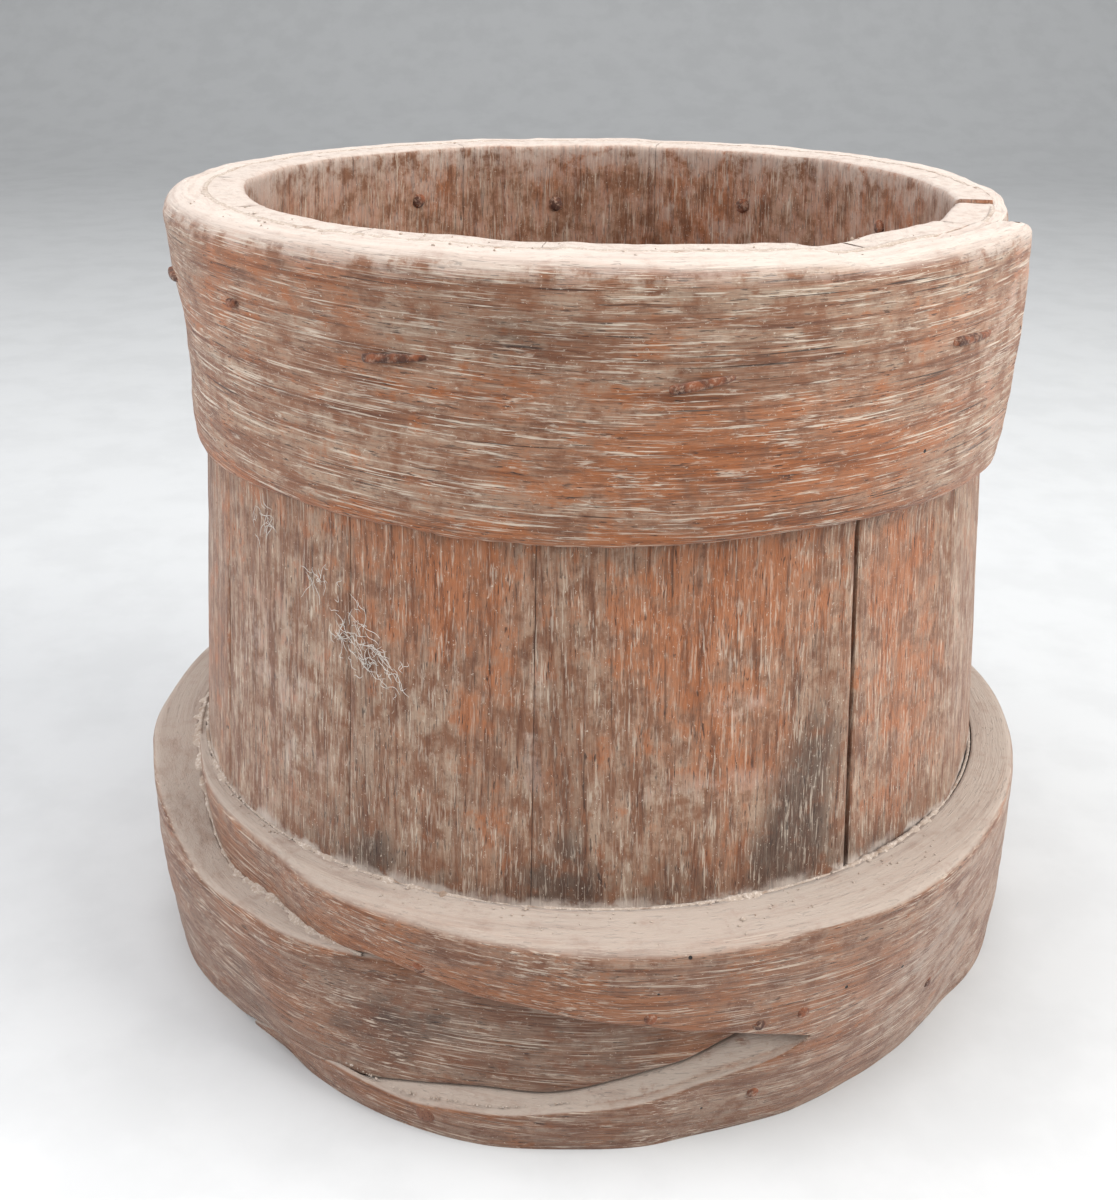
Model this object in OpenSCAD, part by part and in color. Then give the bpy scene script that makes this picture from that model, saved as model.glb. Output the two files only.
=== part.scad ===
// Staved churn tub: tapered staves round a grooved-in head, held by two broad riven hoops.
// The origin is the centre of the foot, where the tub stands. +Z is up and -Y is the front.
// Azimuths are in degrees: 0 is the front, and they grow towards +X.

/* [Tub] */
// Height from the foot to the rim
tub_h = 290; // [250:1:330]
// Outside radius of the staves at the foot
foot_r = 160; // [150:0.5:170]
// Outside radius of the staves at the rim
rim_r = 137.5; // [130:0.5:145]
// Thickness of a stave
stave_t = 13; // [11:0.5:15]
// Gap left in a tight stave joint
joint_gap = 0.2; // [0.1:0.05:0.5]
// Gap of the joint that has opened at the front
open_gap = 1.2; // [0.4:0.1:2]
// Clearance between the staves and the hoops
hoop_fit = 0.2; // [0.1:0.05:0.5]

/* [Head] */
// Height of the head's underside above the foot
head_z = 22; // [18:1:30]
// Thickness of the head boards
head_t = 14; // [12:1:16]
// Depth of the groove in the staves that holds the head
croze_d = 5; // [3:0.5:6]
// Width of the middle head board
board_w = 96; // [80:1:110]
// Azimuth that the head boards run towards
board_az = 20; // [0:5:90]
// Diameter of the dowels between the boards
dowel_d = 8; // [6:0.5:9]
// Length of a dowel
dowel_l = 36; // [24:1:44]

/* [Rim hoop] */
// Height of the rim hoop
rim_hoop_h = 83; // [70:1:95]
// Outside radius of the rim hoop near the rim
rim_hoop_r = 151.5; // [149:0.5:154]
// Outside radius of the rim hoop at its lower edge
rim_hoop_low_r = 146.8; // [146.5:0.1:148]
// Azimuth of the blunt outer end
lap_end_az = 62; // [58:1:66]
// Azimuth of the tip of the inner tongue
lap_tip_az = 20; // [14:1:30]
// Azimuths where the skived flat of the tongue starts and reaches full thickness
skive_az = [96, 119];
// How far the tongue's outside is set off to the lap's side
tongue_shift = 6; // [5:0.5:7]

/* [Foot hoop] */
// Height of the foot hoop
foot_hoop_h = 86; // [80:1:90]
// Outside radius of the foot hoop at its ledge
foot_hoop_r = 175.5; // [174:0.5:178]
// Outside radius of the foot hoop where it stands
foot_hoop_low_r = 168; // [167:0.5:170]
// How far the foot hoop bulges to the front
foot_hoop_bulge = 1.5; // [0:0.1:2]
// Outside radius of the middle tongue in the middle of the front
middle_tongue_r = 163.5; // [163:0.1:165]
// Radius of the flatter curve that the middle tongue's face follows
middle_tongue_curve = 182; // [178:1:190]
// How far the inner run of the upper tongue closes in on the staves at the left
upper_tongue_shift = 19.5; // [18:0.5:20]
// Azimuth where the upper tongue ends, inside the middle one
upper_tongue_az = -85; // [-87:0.5:-83]
// Gap between the interlocked ends
lock_gap = 0.4; // [0.3:0.05:0.6]

/* [Nails] */
// Diameter of a nail's shank
nail_d = 3; // [2.5:0.1:3.5]
// Diameter of a nail's head
nail_head_d = 6.5; // [5.5:0.1:8]
// Length of the bent-over point of a clenched nail
clench_l = 18; // [14:1:20]
// Diameter of the wooden peg
peg_d = 7; // [6:0.5:7.5]

/* [Hidden] */
$fn = 96;
big = 400;
stave_az = [-59, -32, -7.6, 33.5, 55.6, 80, 103, 131, 167, 206, 238, 270, 301];
open_joint = 3;
n_staves = len(stave_az) - 1;
slope = (foot_r - rim_r) / tub_h;
croze_z = head_z + head_t / 2;
croze_mouth = 4.8;
croze_floor = 3;
head_edge = 2.7;
head_bevel = 8;
foot_chamfer = 3;
rim_chamfer = 2;
// Clearances round nails, round dowels and round the head in its groove
bore_play = 0.1;
dowel_play = 0.05;
head_play = 0.4;
// Places of the dowels along a board joint
dowel_along = [-60, 60];
// How far the tongue's cone is drawn in, so that it ends in a thin tip
tongue_inset = 0.8;
// Outer faces of the hoops, as [inset from the full radius, height above the lower edge]
rim_hoop_face = [[2.5, 14], [1, 30], [0, rim_hoop_h - 8], [1.6, rim_hoop_h - 2.5], [4.5, rim_hoop_h]];
foot_hoop_face = [[5, 8], [1, 50], [0, 76], [1, foot_hoop_h - 2.5], [3.5, foot_hoop_h]];
// Lower edge of the upper tongue where it runs inside the middle one
upper_tongue_low = 58.5;
// Sideways places, seen from the front, where the fork's window and the hidden tongue begin
fork_left_x = -107;
hidden_left_x = -79;
// Heads of the nails: how deep they sit and how thick they are
rim_head_sink = 1.2;
rim_head_t = 1.6;
foot_head_sink = 0.6;
foot_head_t = 1.4;
peg_proud = 0.8;
// Azimuth, height and tilt of the bent-over point, for each nail of the rim hoop
rim_nails = [
    [-50, 266, 20], [-27, 258.5, 4], [7, 255, 12], [42.5, 260.5, -6], [69, 262, 3],
    [91, 264, -4], [115, 266.5, 5], [148.5, 266.5, -3], [187, 264, 4], [216, 268, -5],
    [252, 262, 6], [284, 264, -2]
];
// Azimuth and height of each nail of the foot hoop
foot_nails = [
    [19, 16.5], [23, 52], [17.5, 51], [5.8, 60.5], [-19, 68], [46, 30], [84, 44],
    [120, 40], [150, 48], [196, 42], [222, 50], [256, 36]
];
foot_nail_l = 19;
peg_at = [-19, 8.4];
peg_l = 14;
// Edges of the interlock, as [sideways, height] seen from the front
upper_edge = [
    [74, 38.6], [53, 44.5], [30, 51.3], [-3, 57.5], [-56, 63.2], [-80, 64.6], [-106, 58.5], [-200, 58.5]
];
lower_edge = [
    [74, 38.6], [56, 30.5], [38, 25.5], [15, 20], [-10, 16.5], [-40, 13], [-90, 11], [-126, -1]
];
ledge_edge = [[-106, 63], [-139, 59], [-149, 63], [-155, 70], [-160, 77], [-167, 86], [-180, 100]];

// Outside radius of the staves at height z
function stave_r(z) = foot_r - slope * z;

// Turns a shape drawn on the +X side to azimuth az
module at_azimuth(az) rotate([0, 0, az - 90]) children();

// Wedge that holds everything from azimuth a to azimuth b, which are less than 180 degrees apart
module sector(a, b) {
    at_azimuth(a)
        rotate_extrude(angle = b - a)
            translate([0, -1])
                square([big, tub_h + 2]);
}

// Solid bounded by the outside of the staves, grown by extra
module stave_cone(extra) {
    translate([0, 0, -1])
        cylinder(h = tub_h + 2, r1 = stave_r(-1) + extra, r2 = stave_r(tub_h + 1) + extra);
}

// Solid in front of the axis whose outline, seen from the front, is a closed shape
module front_block(points) {
    rotate([90, 0, 0])
        linear_extrude(big)
            polygon(points);
}

// Thin cut along an edge line seen from the front
module front_cut(line) {
    n = len(line);
    above = [for (p = line) [p.x, p.y + lock_gap / 2]];
    below = [for (i = [1:n]) [line[n - i].x, line[n - i].y - lock_gap / 2]];
    front_block(concat(above, below));
}

// ---- staves ----

// Section of a stave: groove for the head near the foot, bevels at both inner corners
module stave_section() {
    inner_foot = foot_r - stave_t;
    inner_rim = rim_r - stave_t;
    polygon([
        [inner_foot + foot_chamfer, 0],
        [foot_r, 0],
        [rim_r, tub_h],
        [inner_rim + rim_chamfer, tub_h],
        [inner_rim, tub_h - rim_chamfer],
        [stave_r(croze_z) - stave_t, croze_z + croze_mouth],
        [stave_r(croze_z) - stave_t + croze_d, croze_z + croze_floor],
        [stave_r(croze_z) - stave_t + croze_d, croze_z - croze_floor],
        [stave_r(croze_z) - stave_t, croze_z - croze_mouth],
        [inner_foot, foot_chamfer]
    ]);
}

// Gap taken from the stave's side at joint j, as an angle
function joint_trim(j) = (j % n_staves == open_joint ? open_gap : joint_gap) / 2 / rim_r * 180 / PI;

// True where a nail's azimuth falls on stave i
function on_stave(i, az) = (az - stave_az[i] + 720) % 360 < stave_az[i + 1] - stave_az[i];

module stave(i) {
    from = stave_az[i] + joint_trim(i);
    to = stave_az[i + 1] - joint_trim(i + 1);
    color("#7d4b33")
        difference() {
            at_azimuth(from)
                rotate_extrude(angle = to - from)
                    stave_section();
            for (nail = rim_nails)
                if (on_stave(i, nail[0]))
                    rim_nail(nail, bore_play);
            for (nail = foot_nails)
                if (on_stave(i, nail[0]))
                    foot_nail(nail, bore_play);
            if (on_stave(i, peg_at[0]))
                peg(bore_play);
        }
}

// ---- head ----

// Whole head as one disc with a bevelled edge
module head_disc() {
    edge_r = stave_r(croze_z) - stave_t + croze_d - head_play;
    flat_r = stave_r(croze_z) - stave_t - head_bevel;
    rotate_extrude()
        polygon([
            [0, head_z],
            [flat_r, head_z],
            [edge_r, croze_z - head_edge],
            [edge_r, croze_z + head_edge],
            [flat_r, head_z + head_t],
            [0, head_z + head_t]
        ]);
}

// Dowels across both board joints, grown by extra
module dowels(extra) {
    for (side = [-1, 1])
        for (along = dowel_along)
            at_azimuth(board_az)
                translate([along, side * board_w / 2 - dowel_l / 2 - extra, croze_z])
                    rotate([-90, 0, 0])
                        cylinder(h = dowel_l + 2 * extra, d = dowel_d + 2 * extra);
}

// Board between two lines that run along the grain
module head_board(from, to) {
    color("#6b4431")
        difference() {
            intersection() {
                head_disc();
                at_azimuth(board_az)
                    translate([-big / 2, from + joint_gap / 2, 0])
                        cube([big, to - from - joint_gap, tub_h]);
            }
            dowels(dowel_play);
        }
}

module head_dowels() {
    color("#8a5f43")
        dowels(0);
}

// ---- rim hoop ----

// Outside of the tongue: a cone set off to one side, so that the tongue thins out towards its tip
module tongue_cone(extra) {
    translate([tongue_shift, 0, 0])
        stave_cone(extra - tongue_inset);
}

module rim_hoop_ring() {
    low = tub_h - rim_hoop_h;
    rotate_extrude()
        polygon([
            [rim_r - 1, low],
            [rim_hoop_low_r, low],
            for (p = rim_hoop_face) [rim_hoop_r - p[0], low + p[1]],
            [rim_r - 1, tub_h]
        ]);
}

// Space beyond the blunt end, down to the tongue and its skived flat
module lap_window() {
    flat_from = [stave_r(tub_h) + 6, skive_az[0]];
    flat_to = [rim_hoop_r + 2, skive_az[1]];
    function corner(p) = [p[0] * sin(p[1]), -p[0] * cos(p[1])];
    difference() {
        sector(lap_end_az, skive_az[1]);
        tongue_cone(0);
        linear_extrude(big)
            polygon([
                corner(flat_from),
                corner(flat_to),
                corner([big, skive_az[1] + 1]),
                corner([1, skive_az[1]]),
                corner([rim_r - 20, skive_az[0]])
            ]);
    }
}

// Thin cut that parts the tongue from the outer end lapped over it
module lap_cut() {
    intersection() {
        sector(lap_tip_az, lap_end_az + 0.1);
        difference() {
            tongue_cone(lock_gap);
            tongue_cone(0);
        }
    }
    intersection() {
        sector(lap_tip_az - 0.2, lap_tip_az);
        tongue_cone(lock_gap);
    }
}

module rim_hoop() {
    color("#75462f")
        difference() {
            rim_hoop_ring();
            stave_cone(hoop_fit);
            lap_window();
            lap_cut();
            for (nail = rim_nails)
                rim_nail(nail, bore_play);
        }
}

// ---- foot hoop ----

module foot_hoop_ring() {
    translate([0, -foot_hoop_bulge, 0])
        rotate_extrude()
            polygon([
                [rim_r, 0],
                [foot_hoop_low_r, 0],
                for (p = foot_hoop_face) [foot_hoop_r - p[0], p[1]],
                [rim_r, foot_hoop_h]
            ]);
}

// Outside of the upper tongue where it runs inside the middle one
module upper_tongue_cylinder(extra) {
    translate([upper_tongue_shift, -foot_hoop_bulge, -1])
        cylinder(h = tub_h, r = foot_hoop_r + extra);
}

// Space in front of the middle tongue, between the two tongues of the fork
module fork_window() {
    n = len(lower_edge);
    difference() {
        front_block(concat(
            [for (p = upper_edge) if (p.x > fork_left_x) p],
            [for (i = [1:n]) lower_edge[n - i]]
        ));
        translate([0, middle_tongue_curve - middle_tongue_r, -1])
            cylinder(h = tub_h, r = middle_tongue_curve);
    }
}

// Space outside the upper tongue, down to its own lower edge and to the middle tongue's ledge
module ledge_window() {
    intersection() {
        difference() {
            front_block(concat([for (p = upper_edge) if (p.x < 0 && p.x > hidden_left_x) p], ledge_edge, [[-3, 100]]));
            upper_tongue_cylinder(0);
        }
        sector(upper_tongue_az, 0);
    }
}

// Thin cuts that part the upper tongue from the middle one behind the ledge
module tongue_cuts() {
    intersection() {
        sector(upper_tongue_az, -30);
        difference() {
            upper_tongue_cylinder(lock_gap);
            upper_tongue_cylinder(0);
        }
        translate([-big, -big, upper_tongue_low])
            cube([2 * big, big, big]);
    }
    intersection() {
        sector(upper_tongue_az, -28);
        front_cut([for (p = upper_edge) if (p.x < hidden_left_x) p]);
        upper_tongue_cylinder(lock_gap);
    }
    intersection() {
        sector(upper_tongue_az - 0.15, upper_tongue_az);
        upper_tongue_cylinder(lock_gap);
        translate([-big, -big, upper_tongue_low - lock_gap / 2])
            cube([2 * big, big, big]);
    }
}

module foot_hoop() {
    color("#6e432e")
        difference() {
            foot_hoop_ring();
            stave_cone(hoop_fit);
            fork_window();
            ledge_window();
            front_cut([for (p = upper_edge) if (p.x > fork_left_x) p]);
            front_cut(lower_edge);
            tongue_cuts();
            for (nail = foot_nails)
                foot_nail(nail, bore_play);
            peg(bore_play);
        }
}

// ---- nails and peg ----

// Clenched nail: head inside the tub, shank out through stave and hoop, point bent along the hoop
module rim_nail(nail, extra) {
    z = nail[1];
    inner = stave_r(z) - stave_t;
    on_tongue = nail[0] > lap_end_az && nail[0] < skive_az[0];
    outer = (on_tongue ? stave_r(z) - tongue_inset + tongue_shift * sin(nail[0]) : rim_hoop_r) + 0.4;
    r = nail_d / 2 + extra;
    at_azimuth(nail[0])
        translate([0, 0, z]) {
            translate([inner - 0.8, 0, 0])
                rotate([0, 90, 0])
                    cylinder(h = outer - inner + 2, r = r);
            translate([inner - rim_head_sink, 0, 0])
                rotate([0, 90, 0])
                    cylinder(h = rim_head_t + extra, d = nail_head_d + 2 * extra);
            rotate([nail[2], 0, 0])
                translate([outer, -1, 0])
                    rotate([-90, 0, 3])
                        cylinder(h = clench_l, r = r * 0.8);
        }
}

// Outside radius of the foot hoop at a nail
function foot_nail_r(z) = lookup(z, [for (p = foot_hoop_face) [p[1], foot_hoop_r - p[0]]]);

// Nail with a round flat head, driven in from outside
module foot_nail(nail, extra) {
    outer = foot_nail_r(nail[1]) + foot_hoop_bulge * cos(nail[0]);
    at_azimuth(nail[0])
        translate([outer, 0, nail[1]]) {
            translate([-foot_nail_l - extra, 0, 0])
                rotate([0, 90, 0])
                    cylinder(h = foot_nail_l + extra, d = nail_d + 2 * extra);
            translate([-foot_head_sink - extra, 0, 0])
                rotate([0, 90, 0])
                    cylinder(h = foot_head_t + extra, d = nail_head_d + 2 * extra);
        }
}

module peg(extra) {
    outer = foot_nail_r(peg_at[1]) + foot_hoop_bulge;
    at_azimuth(peg_at[0])
        translate([outer - peg_l - extra, 0, peg_at[1]])
            rotate([0, 90, 0])
                cylinder(h = peg_l + extra + peg_proud, d = peg_d + 2 * extra);
}

module rim_hoop_nails() {
    color("#54392f")
        for (nail = rim_nails)
            rim_nail(nail, 0);
}

module foot_hoop_nails() {
    color("#54392f")
        for (nail = foot_nails)
            foot_nail(nail, 0);
}

module foot_hoop_peg() {
    color("#86603f")
        peg(0);
}

stave(0);  // stave_01
stave(1);  // stave_02
stave(2);  // stave_03
stave(3);  // stave_04
stave(4);  // stave_05
stave(5);  // stave_06
stave(6);  // stave_07
stave(7);  // stave_08
stave(8);  // stave_09
stave(9);  // stave_10
stave(10);  // stave_11
stave(11);  // stave_12
head_board(-board_w * 2, -board_w / 2);  // head_board_front
head_board(-board_w / 2, board_w / 2);  // head_board_middle
head_board(board_w / 2, board_w * 2);  // head_board_back
head_dowels();
rim_hoop();
rim_hoop_nails();
foot_hoop();
foot_hoop_nails();
foot_hoop_peg();
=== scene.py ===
"""Looks of an old open churn tub: tapered oak staves, a lapped rim hoop, a forked foot hoop.

Lengths inside this file are in millimetres unless a name ends in _m. Places round the tub are
given as a turn in degrees (0 at the front, positive towards +X), a radius and a height.
"""
import logging
import math
from dataclasses import dataclass, field
from enum import Enum
from typing import Callable

import bmesh
import bpy
import numpy as np
from mathutils import Matrix, Vector


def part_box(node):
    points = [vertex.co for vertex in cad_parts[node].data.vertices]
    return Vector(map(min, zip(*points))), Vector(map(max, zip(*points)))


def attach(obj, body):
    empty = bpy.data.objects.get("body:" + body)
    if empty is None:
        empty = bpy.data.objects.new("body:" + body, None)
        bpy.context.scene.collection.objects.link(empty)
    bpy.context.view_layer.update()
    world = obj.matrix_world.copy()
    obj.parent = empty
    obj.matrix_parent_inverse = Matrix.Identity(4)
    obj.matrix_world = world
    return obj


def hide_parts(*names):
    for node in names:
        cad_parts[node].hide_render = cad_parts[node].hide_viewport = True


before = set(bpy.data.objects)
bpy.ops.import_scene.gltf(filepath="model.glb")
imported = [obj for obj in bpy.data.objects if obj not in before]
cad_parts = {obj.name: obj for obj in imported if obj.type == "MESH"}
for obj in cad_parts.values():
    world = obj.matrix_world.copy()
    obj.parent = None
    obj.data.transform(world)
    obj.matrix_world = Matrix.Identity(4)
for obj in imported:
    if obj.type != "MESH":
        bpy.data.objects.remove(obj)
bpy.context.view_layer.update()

log = logging.getLogger("churn_tub")
MM = 0.001
BODY = "root"
Array = np.ndarray
Keys = tuple[tuple[float, float], ...]
Socket = bpy.types.NodeSocket


# ---------------------------------------------------------------- curves and relief

def ease(low: float, high: float, x: Array) -> Array:
    """Smooth step: 0 below low, 1 above high, 3t^2 - 2t^3 in between."""
    t = np.clip((np.asarray(x, float) - low) / (high - low), 0.0, 1.0)
    return t * t * (3.0 - 2.0 * t)


def through(keys: Keys, x: Array) -> Array:
    """Smooth curve through given points.

    Between two points it is the cubic whose slopes at both ends are the mean of the slopes of
    the two straight lines that meet there, so it doesn't overshoot much.

    Args:
        keys: (place, value) pairs, places rising.
        x: places to read the curve at.

    Returns:
        The values, with the same shape as x. Beyond the ends the end value holds.
    """
    place, value = np.array(keys, float).T
    line = np.diff(value) / np.diff(place)
    slope = np.concatenate([[line[0]], (line[1:] + line[:-1]) / 2, [line[-1]]])
    flat = np.concatenate([[False], line[1:] * line[:-1] <= 0, [False]])
    slope = np.where(flat, 0.0, slope)
    x = np.clip(np.asarray(x, float), place[0], place[-1])
    i = np.clip(np.searchsorted(place, x, side="right") - 1, 0, len(place) - 2)
    width = place[i + 1] - place[i]
    t = (x - place[i]) / width
    return (
        (2 * t**3 - 3 * t**2 + 1) * value[i]
        + (t**3 - 2 * t**2 + t) * width * slope[i]
        + (3 * t**2 - 2 * t**3) * value[i + 1]
        + (t**3 - t**2) * width * slope[i + 1]
    )


def patch(a: Array, z: Array, turn: float, height: float, wide: float, tall: float) -> Array:
    """Soft oval spot: exp(-(distance / size)^4), 1 in the middle and 0 outside.

    Args:
        a: turns in degrees.
        z: heights.
        turn: turn of the middle.
        height: height of the middle.
        wide: half width in degrees.
        tall: half height.

    Returns:
        The strength of the spot at each point.
    """
    return np.exp(-((((a - turn) / wide) ** 2 + ((z - height) / tall) ** 2) ** 2))


@dataclass
class Relief:
    """Smooth seeded unevenness: random values on a square lattice, eased between neighbours."""

    seed: int
    size: int = 256
    table: Array = field(init=False)

    def __post_init__(self) -> None:
        """Draws the lattice."""
        self.table = np.random.default_rng(self.seed).random((self.size, self.size))

    def at(self, u: Array, v: Array) -> Array:
        """Value between -1 and 1 at lattice place (u, v)."""
        i, j = np.floor(u).astype(int), np.floor(v).astype(int)
        s, t = u - i, v - j
        s, t = s * s * (3 - 2 * s), t * t * (3 - 2 * t)
        n = self.size
        low = self.table[i % n, j % n] * (1 - s) + self.table[(i + 1) % n, j % n] * s
        high = self.table[i % n, (j + 1) % n] * (1 - s) + self.table[(i + 1) % n, (j + 1) % n] * s
        return 2.0 * (low * (1 - t) + high * t) - 1.0

    def layers(self, u: Array, v: Array, count: int = 3) -> Array:
        """Sum of count layers, each twice as fine and half as strong as the one before."""
        total = np.zeros(np.broadcast(u, v).shape)
        for k in range(count):
            total = total + self.at(u * 2**k + 17.3 * k, v * 2**k + 9.1 * k) / 2**k
        return total


def spin(turn: Array, radius: Array, height: Array) -> Array:
    """Point in metres at a turn in degrees, a radius and a height: (r sin a, -r cos a, z)."""
    a = np.radians(turn)
    return np.stack([radius * np.sin(a), -radius * np.cos(a), height + 0.0 * a], axis=-1) * MM


def spread(low: float, high: float, step: float, edge: float = 0.0) -> Array:
    """Rising places from low to high, about step apart, with closer ones within edge of the ends.

    Args:
        low: first place.
        high: last place.
        step: distance between neighbours.
        edge: width of the closer stretch at each end, 0 for none.

    Returns:
        The places.
    """
    if edge <= 0:
        return np.linspace(low, high, max(2, int(round((high - low) / step)) + 1))
    close = edge * np.array([0.0, 0.12, 0.3, 0.58])
    count = max(2, int(round((high - low - 2 * edge) / step)) + 1)
    middle = np.linspace(low + edge, high - edge, count)
    return np.concatenate([low + close, middle, (high - close)[::-1]])


# ---------------------------------------------------------------- meshes

class Side(Enum):
    """The four runs of points round a section of a stave or a hoop."""

    UNDER = 0
    OUTER = 1
    TOP = 2
    INNER = 3


@dataclass
class Section:
    """Loops of points round a piece that has an outer, a top, an inner and an under side.

    The loop starts in the middle of the under side, goes out, up, across the top, down the
    inside and back, so point i lies opposite point m - 1 - i and the ends can be closed by
    drawing both halves of the loop together on the line between them.
    """

    turn: Array
    radius: Array
    height: Array
    side: Array
    along: Array
    across: Array
    dust: Array
    worn: Array
    stain_and_shade: Array

    @classmethod
    def ring(cls, turn: Array, outer: tuple[Array, Array], inner: tuple[Array, Array],
             across: int, top: Callable[[Array, Array], Array] | None = None) -> "Section":
        """Makes the loops from the outer and the inner face.

        Args:
            turn: turns of the stations in degrees, shape (n,) or (n, m).
            outer: radii and heights of the outer face, lowest first, shape (n, levels).
            inner: the same for the inner face.
            across: points on the top and on the under side, an even number.
            top: heights added on top, from the share of the way in and the station number.

        Returns:
            The section with empty marks.
        """
        (ro, zo), (ri, zi) = outer, inner
        share = (np.arange(across) + 1.0) / (across + 1.0)
        half = across // 2

        def bridge(at: int) -> tuple[Array, Array]:
            """Points on straight lines from the outer to the inner face at one end of them."""
            r = ro[:, at, None] * (1 - share) + ri[:, at, None] * share
            z = zo[:, at, None] * (1 - share) + zi[:, at, None] * share
            return r, z

        top_r, top_z = bridge(-1)
        low_r, low_z = bridge(0)
        if top is not None:
            top_z = top(top_r, top_z)
        radius = np.concatenate(
            [low_r[:, :half][:, ::-1], ro, top_r, ri[:, ::-1], low_r[:, half:][:, ::-1]], axis=1)
        height = np.concatenate(
            [low_z[:, :half][:, ::-1], zo, top_z, zi[:, ::-1], low_z[:, half:][:, ::-1]], axis=1)
        runs = [(Side.UNDER, half), (Side.OUTER, ro.shape[1]), (Side.TOP, across),
                (Side.INNER, ri.shape[1]), (Side.UNDER, half)]
        side = np.concatenate([np.full(count, name.value) for name, count in runs])
        turn = np.broadcast_to(turn if turn.ndim == 2 else turn[:, None], radius.shape)
        side = np.broadcast_to(side, radius.shape)
        blank = np.zeros(radius.shape)
        return cls(turn, radius, height, side, blank, blank, blank, blank, blank)

    def on(self, *sides: Side) -> Array:
        """1 on the named sides and 0 elsewhere."""
        return np.isin(self.side, [s.value for s in sides]).astype(float)

    def table(self) -> Array:
        """Nine numbers a point: its place, its place in the grain in millimetres, three marks."""
        grain = np.stack([self.along, self.across, self.radius], axis=-1)
        marks = np.stack([self.dust, self.worn, self.stain_and_shade], axis=-1)
        return np.concatenate([spin(self.turn, self.radius, self.height), grain, marks], axis=-1)


@dataclass
class Shell:
    """Grids of points joined into one closed mesh, with the grain and the marks on its points."""

    name: str
    points: list[Array] = field(default_factory=list)
    faces: list[Array] = field(default_factory=list)
    count: int = 0

    def add_loops(self, table: Array, close_start: bool = True, close_end: bool = True) -> None:
        """Adds a tube of closed loops.

        A closed end gets more loops, drawn step by step on to the line half way between
        opposite points, where the two halves meet and are merged.

        Args:
            table: nine numbers for each point of each loop, shape (loops, points, 9).
            close_start: closes the first end.
            close_end: closes the last end.
        """
        steps = np.array([0.12, 0.4, 0.7, 1.0])[:, None, None]
        if close_start:
            middle = (table[0] + table[0][::-1]) / 2
            table = np.concatenate([(table[0] + (middle - table[0]) * steps)[::-1], table])
        if close_end:
            middle = (table[-1] + table[-1][::-1]) / 2
            table = np.concatenate([table, table[-1] + (middle - table[-1]) * steps])
        self.add_grid(table, True)

    def add_grid(self, table: Array, around: bool) -> None:
        """Adds a grid of points as four-cornered faces.

        Args:
            table: nine numbers for each point, shape (rows, columns, 9).
            around: joins the last column to the first.
        """
        n, m = table.shape[:2]
        number = np.arange(n * m).reshape(n, m) + self.count
        right = np.roll(number, -1, axis=1)
        if not around:
            number, right = number[:, :-1], right[:, :-1]
        quads = np.stack([number[:-1], right[:-1], right[1:], number[1:]], axis=-1)
        self.points.append(table.reshape(-1, 9))
        self.faces.append(quads.reshape(-1, 4))
        self.count += n * m

    def add_plain(self, place: Array, around: bool = True) -> None:
        """Adds a grid without marks, whose grain is its own place.

        Args:
            place: points in metres, shape (rows, columns, 3).
            around: joins the last column to the first.
        """
        self.add_grid(np.concatenate([place, place / MM, 0 * place], axis=-1), around)

    def add_rod(self, path: Array, size: Array) -> None:
        """Adds a square-ish rod: the loop (cos u, sin u) pulled towards a square, along a path.

        Args:
            path: points of its middle line, in millimetres.
            size: half width at each point.
        """
        sides, squareness = 16, 0.55
        ahead = np.gradient(path, axis=0)
        ahead = ahead / np.linalg.norm(ahead, axis=1, keepdims=True)
        outward = path * np.array([1.0, 1.0, 0.0]) + ahead * 0.01
        sideways = np.cross(ahead, outward)
        sideways = sideways / np.linalg.norm(sideways, axis=1, keepdims=True)
        outward = np.cross(sideways, ahead)
        u = np.linspace(0, 2 * np.pi, sides + 1)[:-1] + np.pi / sides
        square = 1.0 / np.maximum(np.abs(np.cos(u)), np.abs(np.sin(u))) * squareness + 1 - squareness
        loop = np.stack([np.cos(u) * square, np.sin(u) * square], axis=-1)
        ends = np.concatenate([[0.0], np.ones(len(path)), [0.0]])
        path = np.concatenate([path[:1], path, path[-1:]])
        half = np.pad(size, 1, mode="edge") * ends
        sideways, outward = (np.concatenate([v[:1], v, v[-1:]]) for v in (sideways, outward))
        place = path[:, None, :] + half[:, None, None] * (
            loop[None, :, :1] * sideways[:, None, :] + loop[None, :, 1:] * outward[:, None, :])
        self.add_plain(place * MM)

    def build(self, weld: float = 0.002) -> bpy.types.Object:
        """Makes the Blender object.

        Args:
            weld: distance within which points are merged.

        Returns:
            The object, at the origin, with smooth faces that point outwards.
        """
        table, quads = np.concatenate(self.points), np.concatenate(self.faces)
        mesh = bpy.data.meshes.new(self.name)
        mesh.from_pydata(table[:, :3].tolist(), [], quads.tolist())
        grain = mesh.attributes.new("grain", "FLOAT_VECTOR", "POINT")
        grain.data.foreach_set("vector", table[:, 3:6].astype(np.float32).ravel())
        for k, mark in enumerate(("dust", "worn", "stain_and_shade")):
            layer = mesh.attributes.new(mark, "FLOAT", "POINT")
            layer.data.foreach_set("value", table[:, 6 + k].astype(np.float32))
        work = bmesh.new()
        work.from_mesh(mesh)
        bmesh.ops.remove_doubles(work, verts=work.verts, dist=weld * MM)
        bmesh.ops.recalc_face_normals(work, faces=work.faces)
        work.to_mesh(mesh)
        work.free()
        mesh.polygons.foreach_set("use_smooth", np.ones(len(mesh.polygons), bool))
        made = bpy.data.objects.new(self.name, mesh)
        bpy.context.scene.collection.objects.link(made)
        return made


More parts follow.
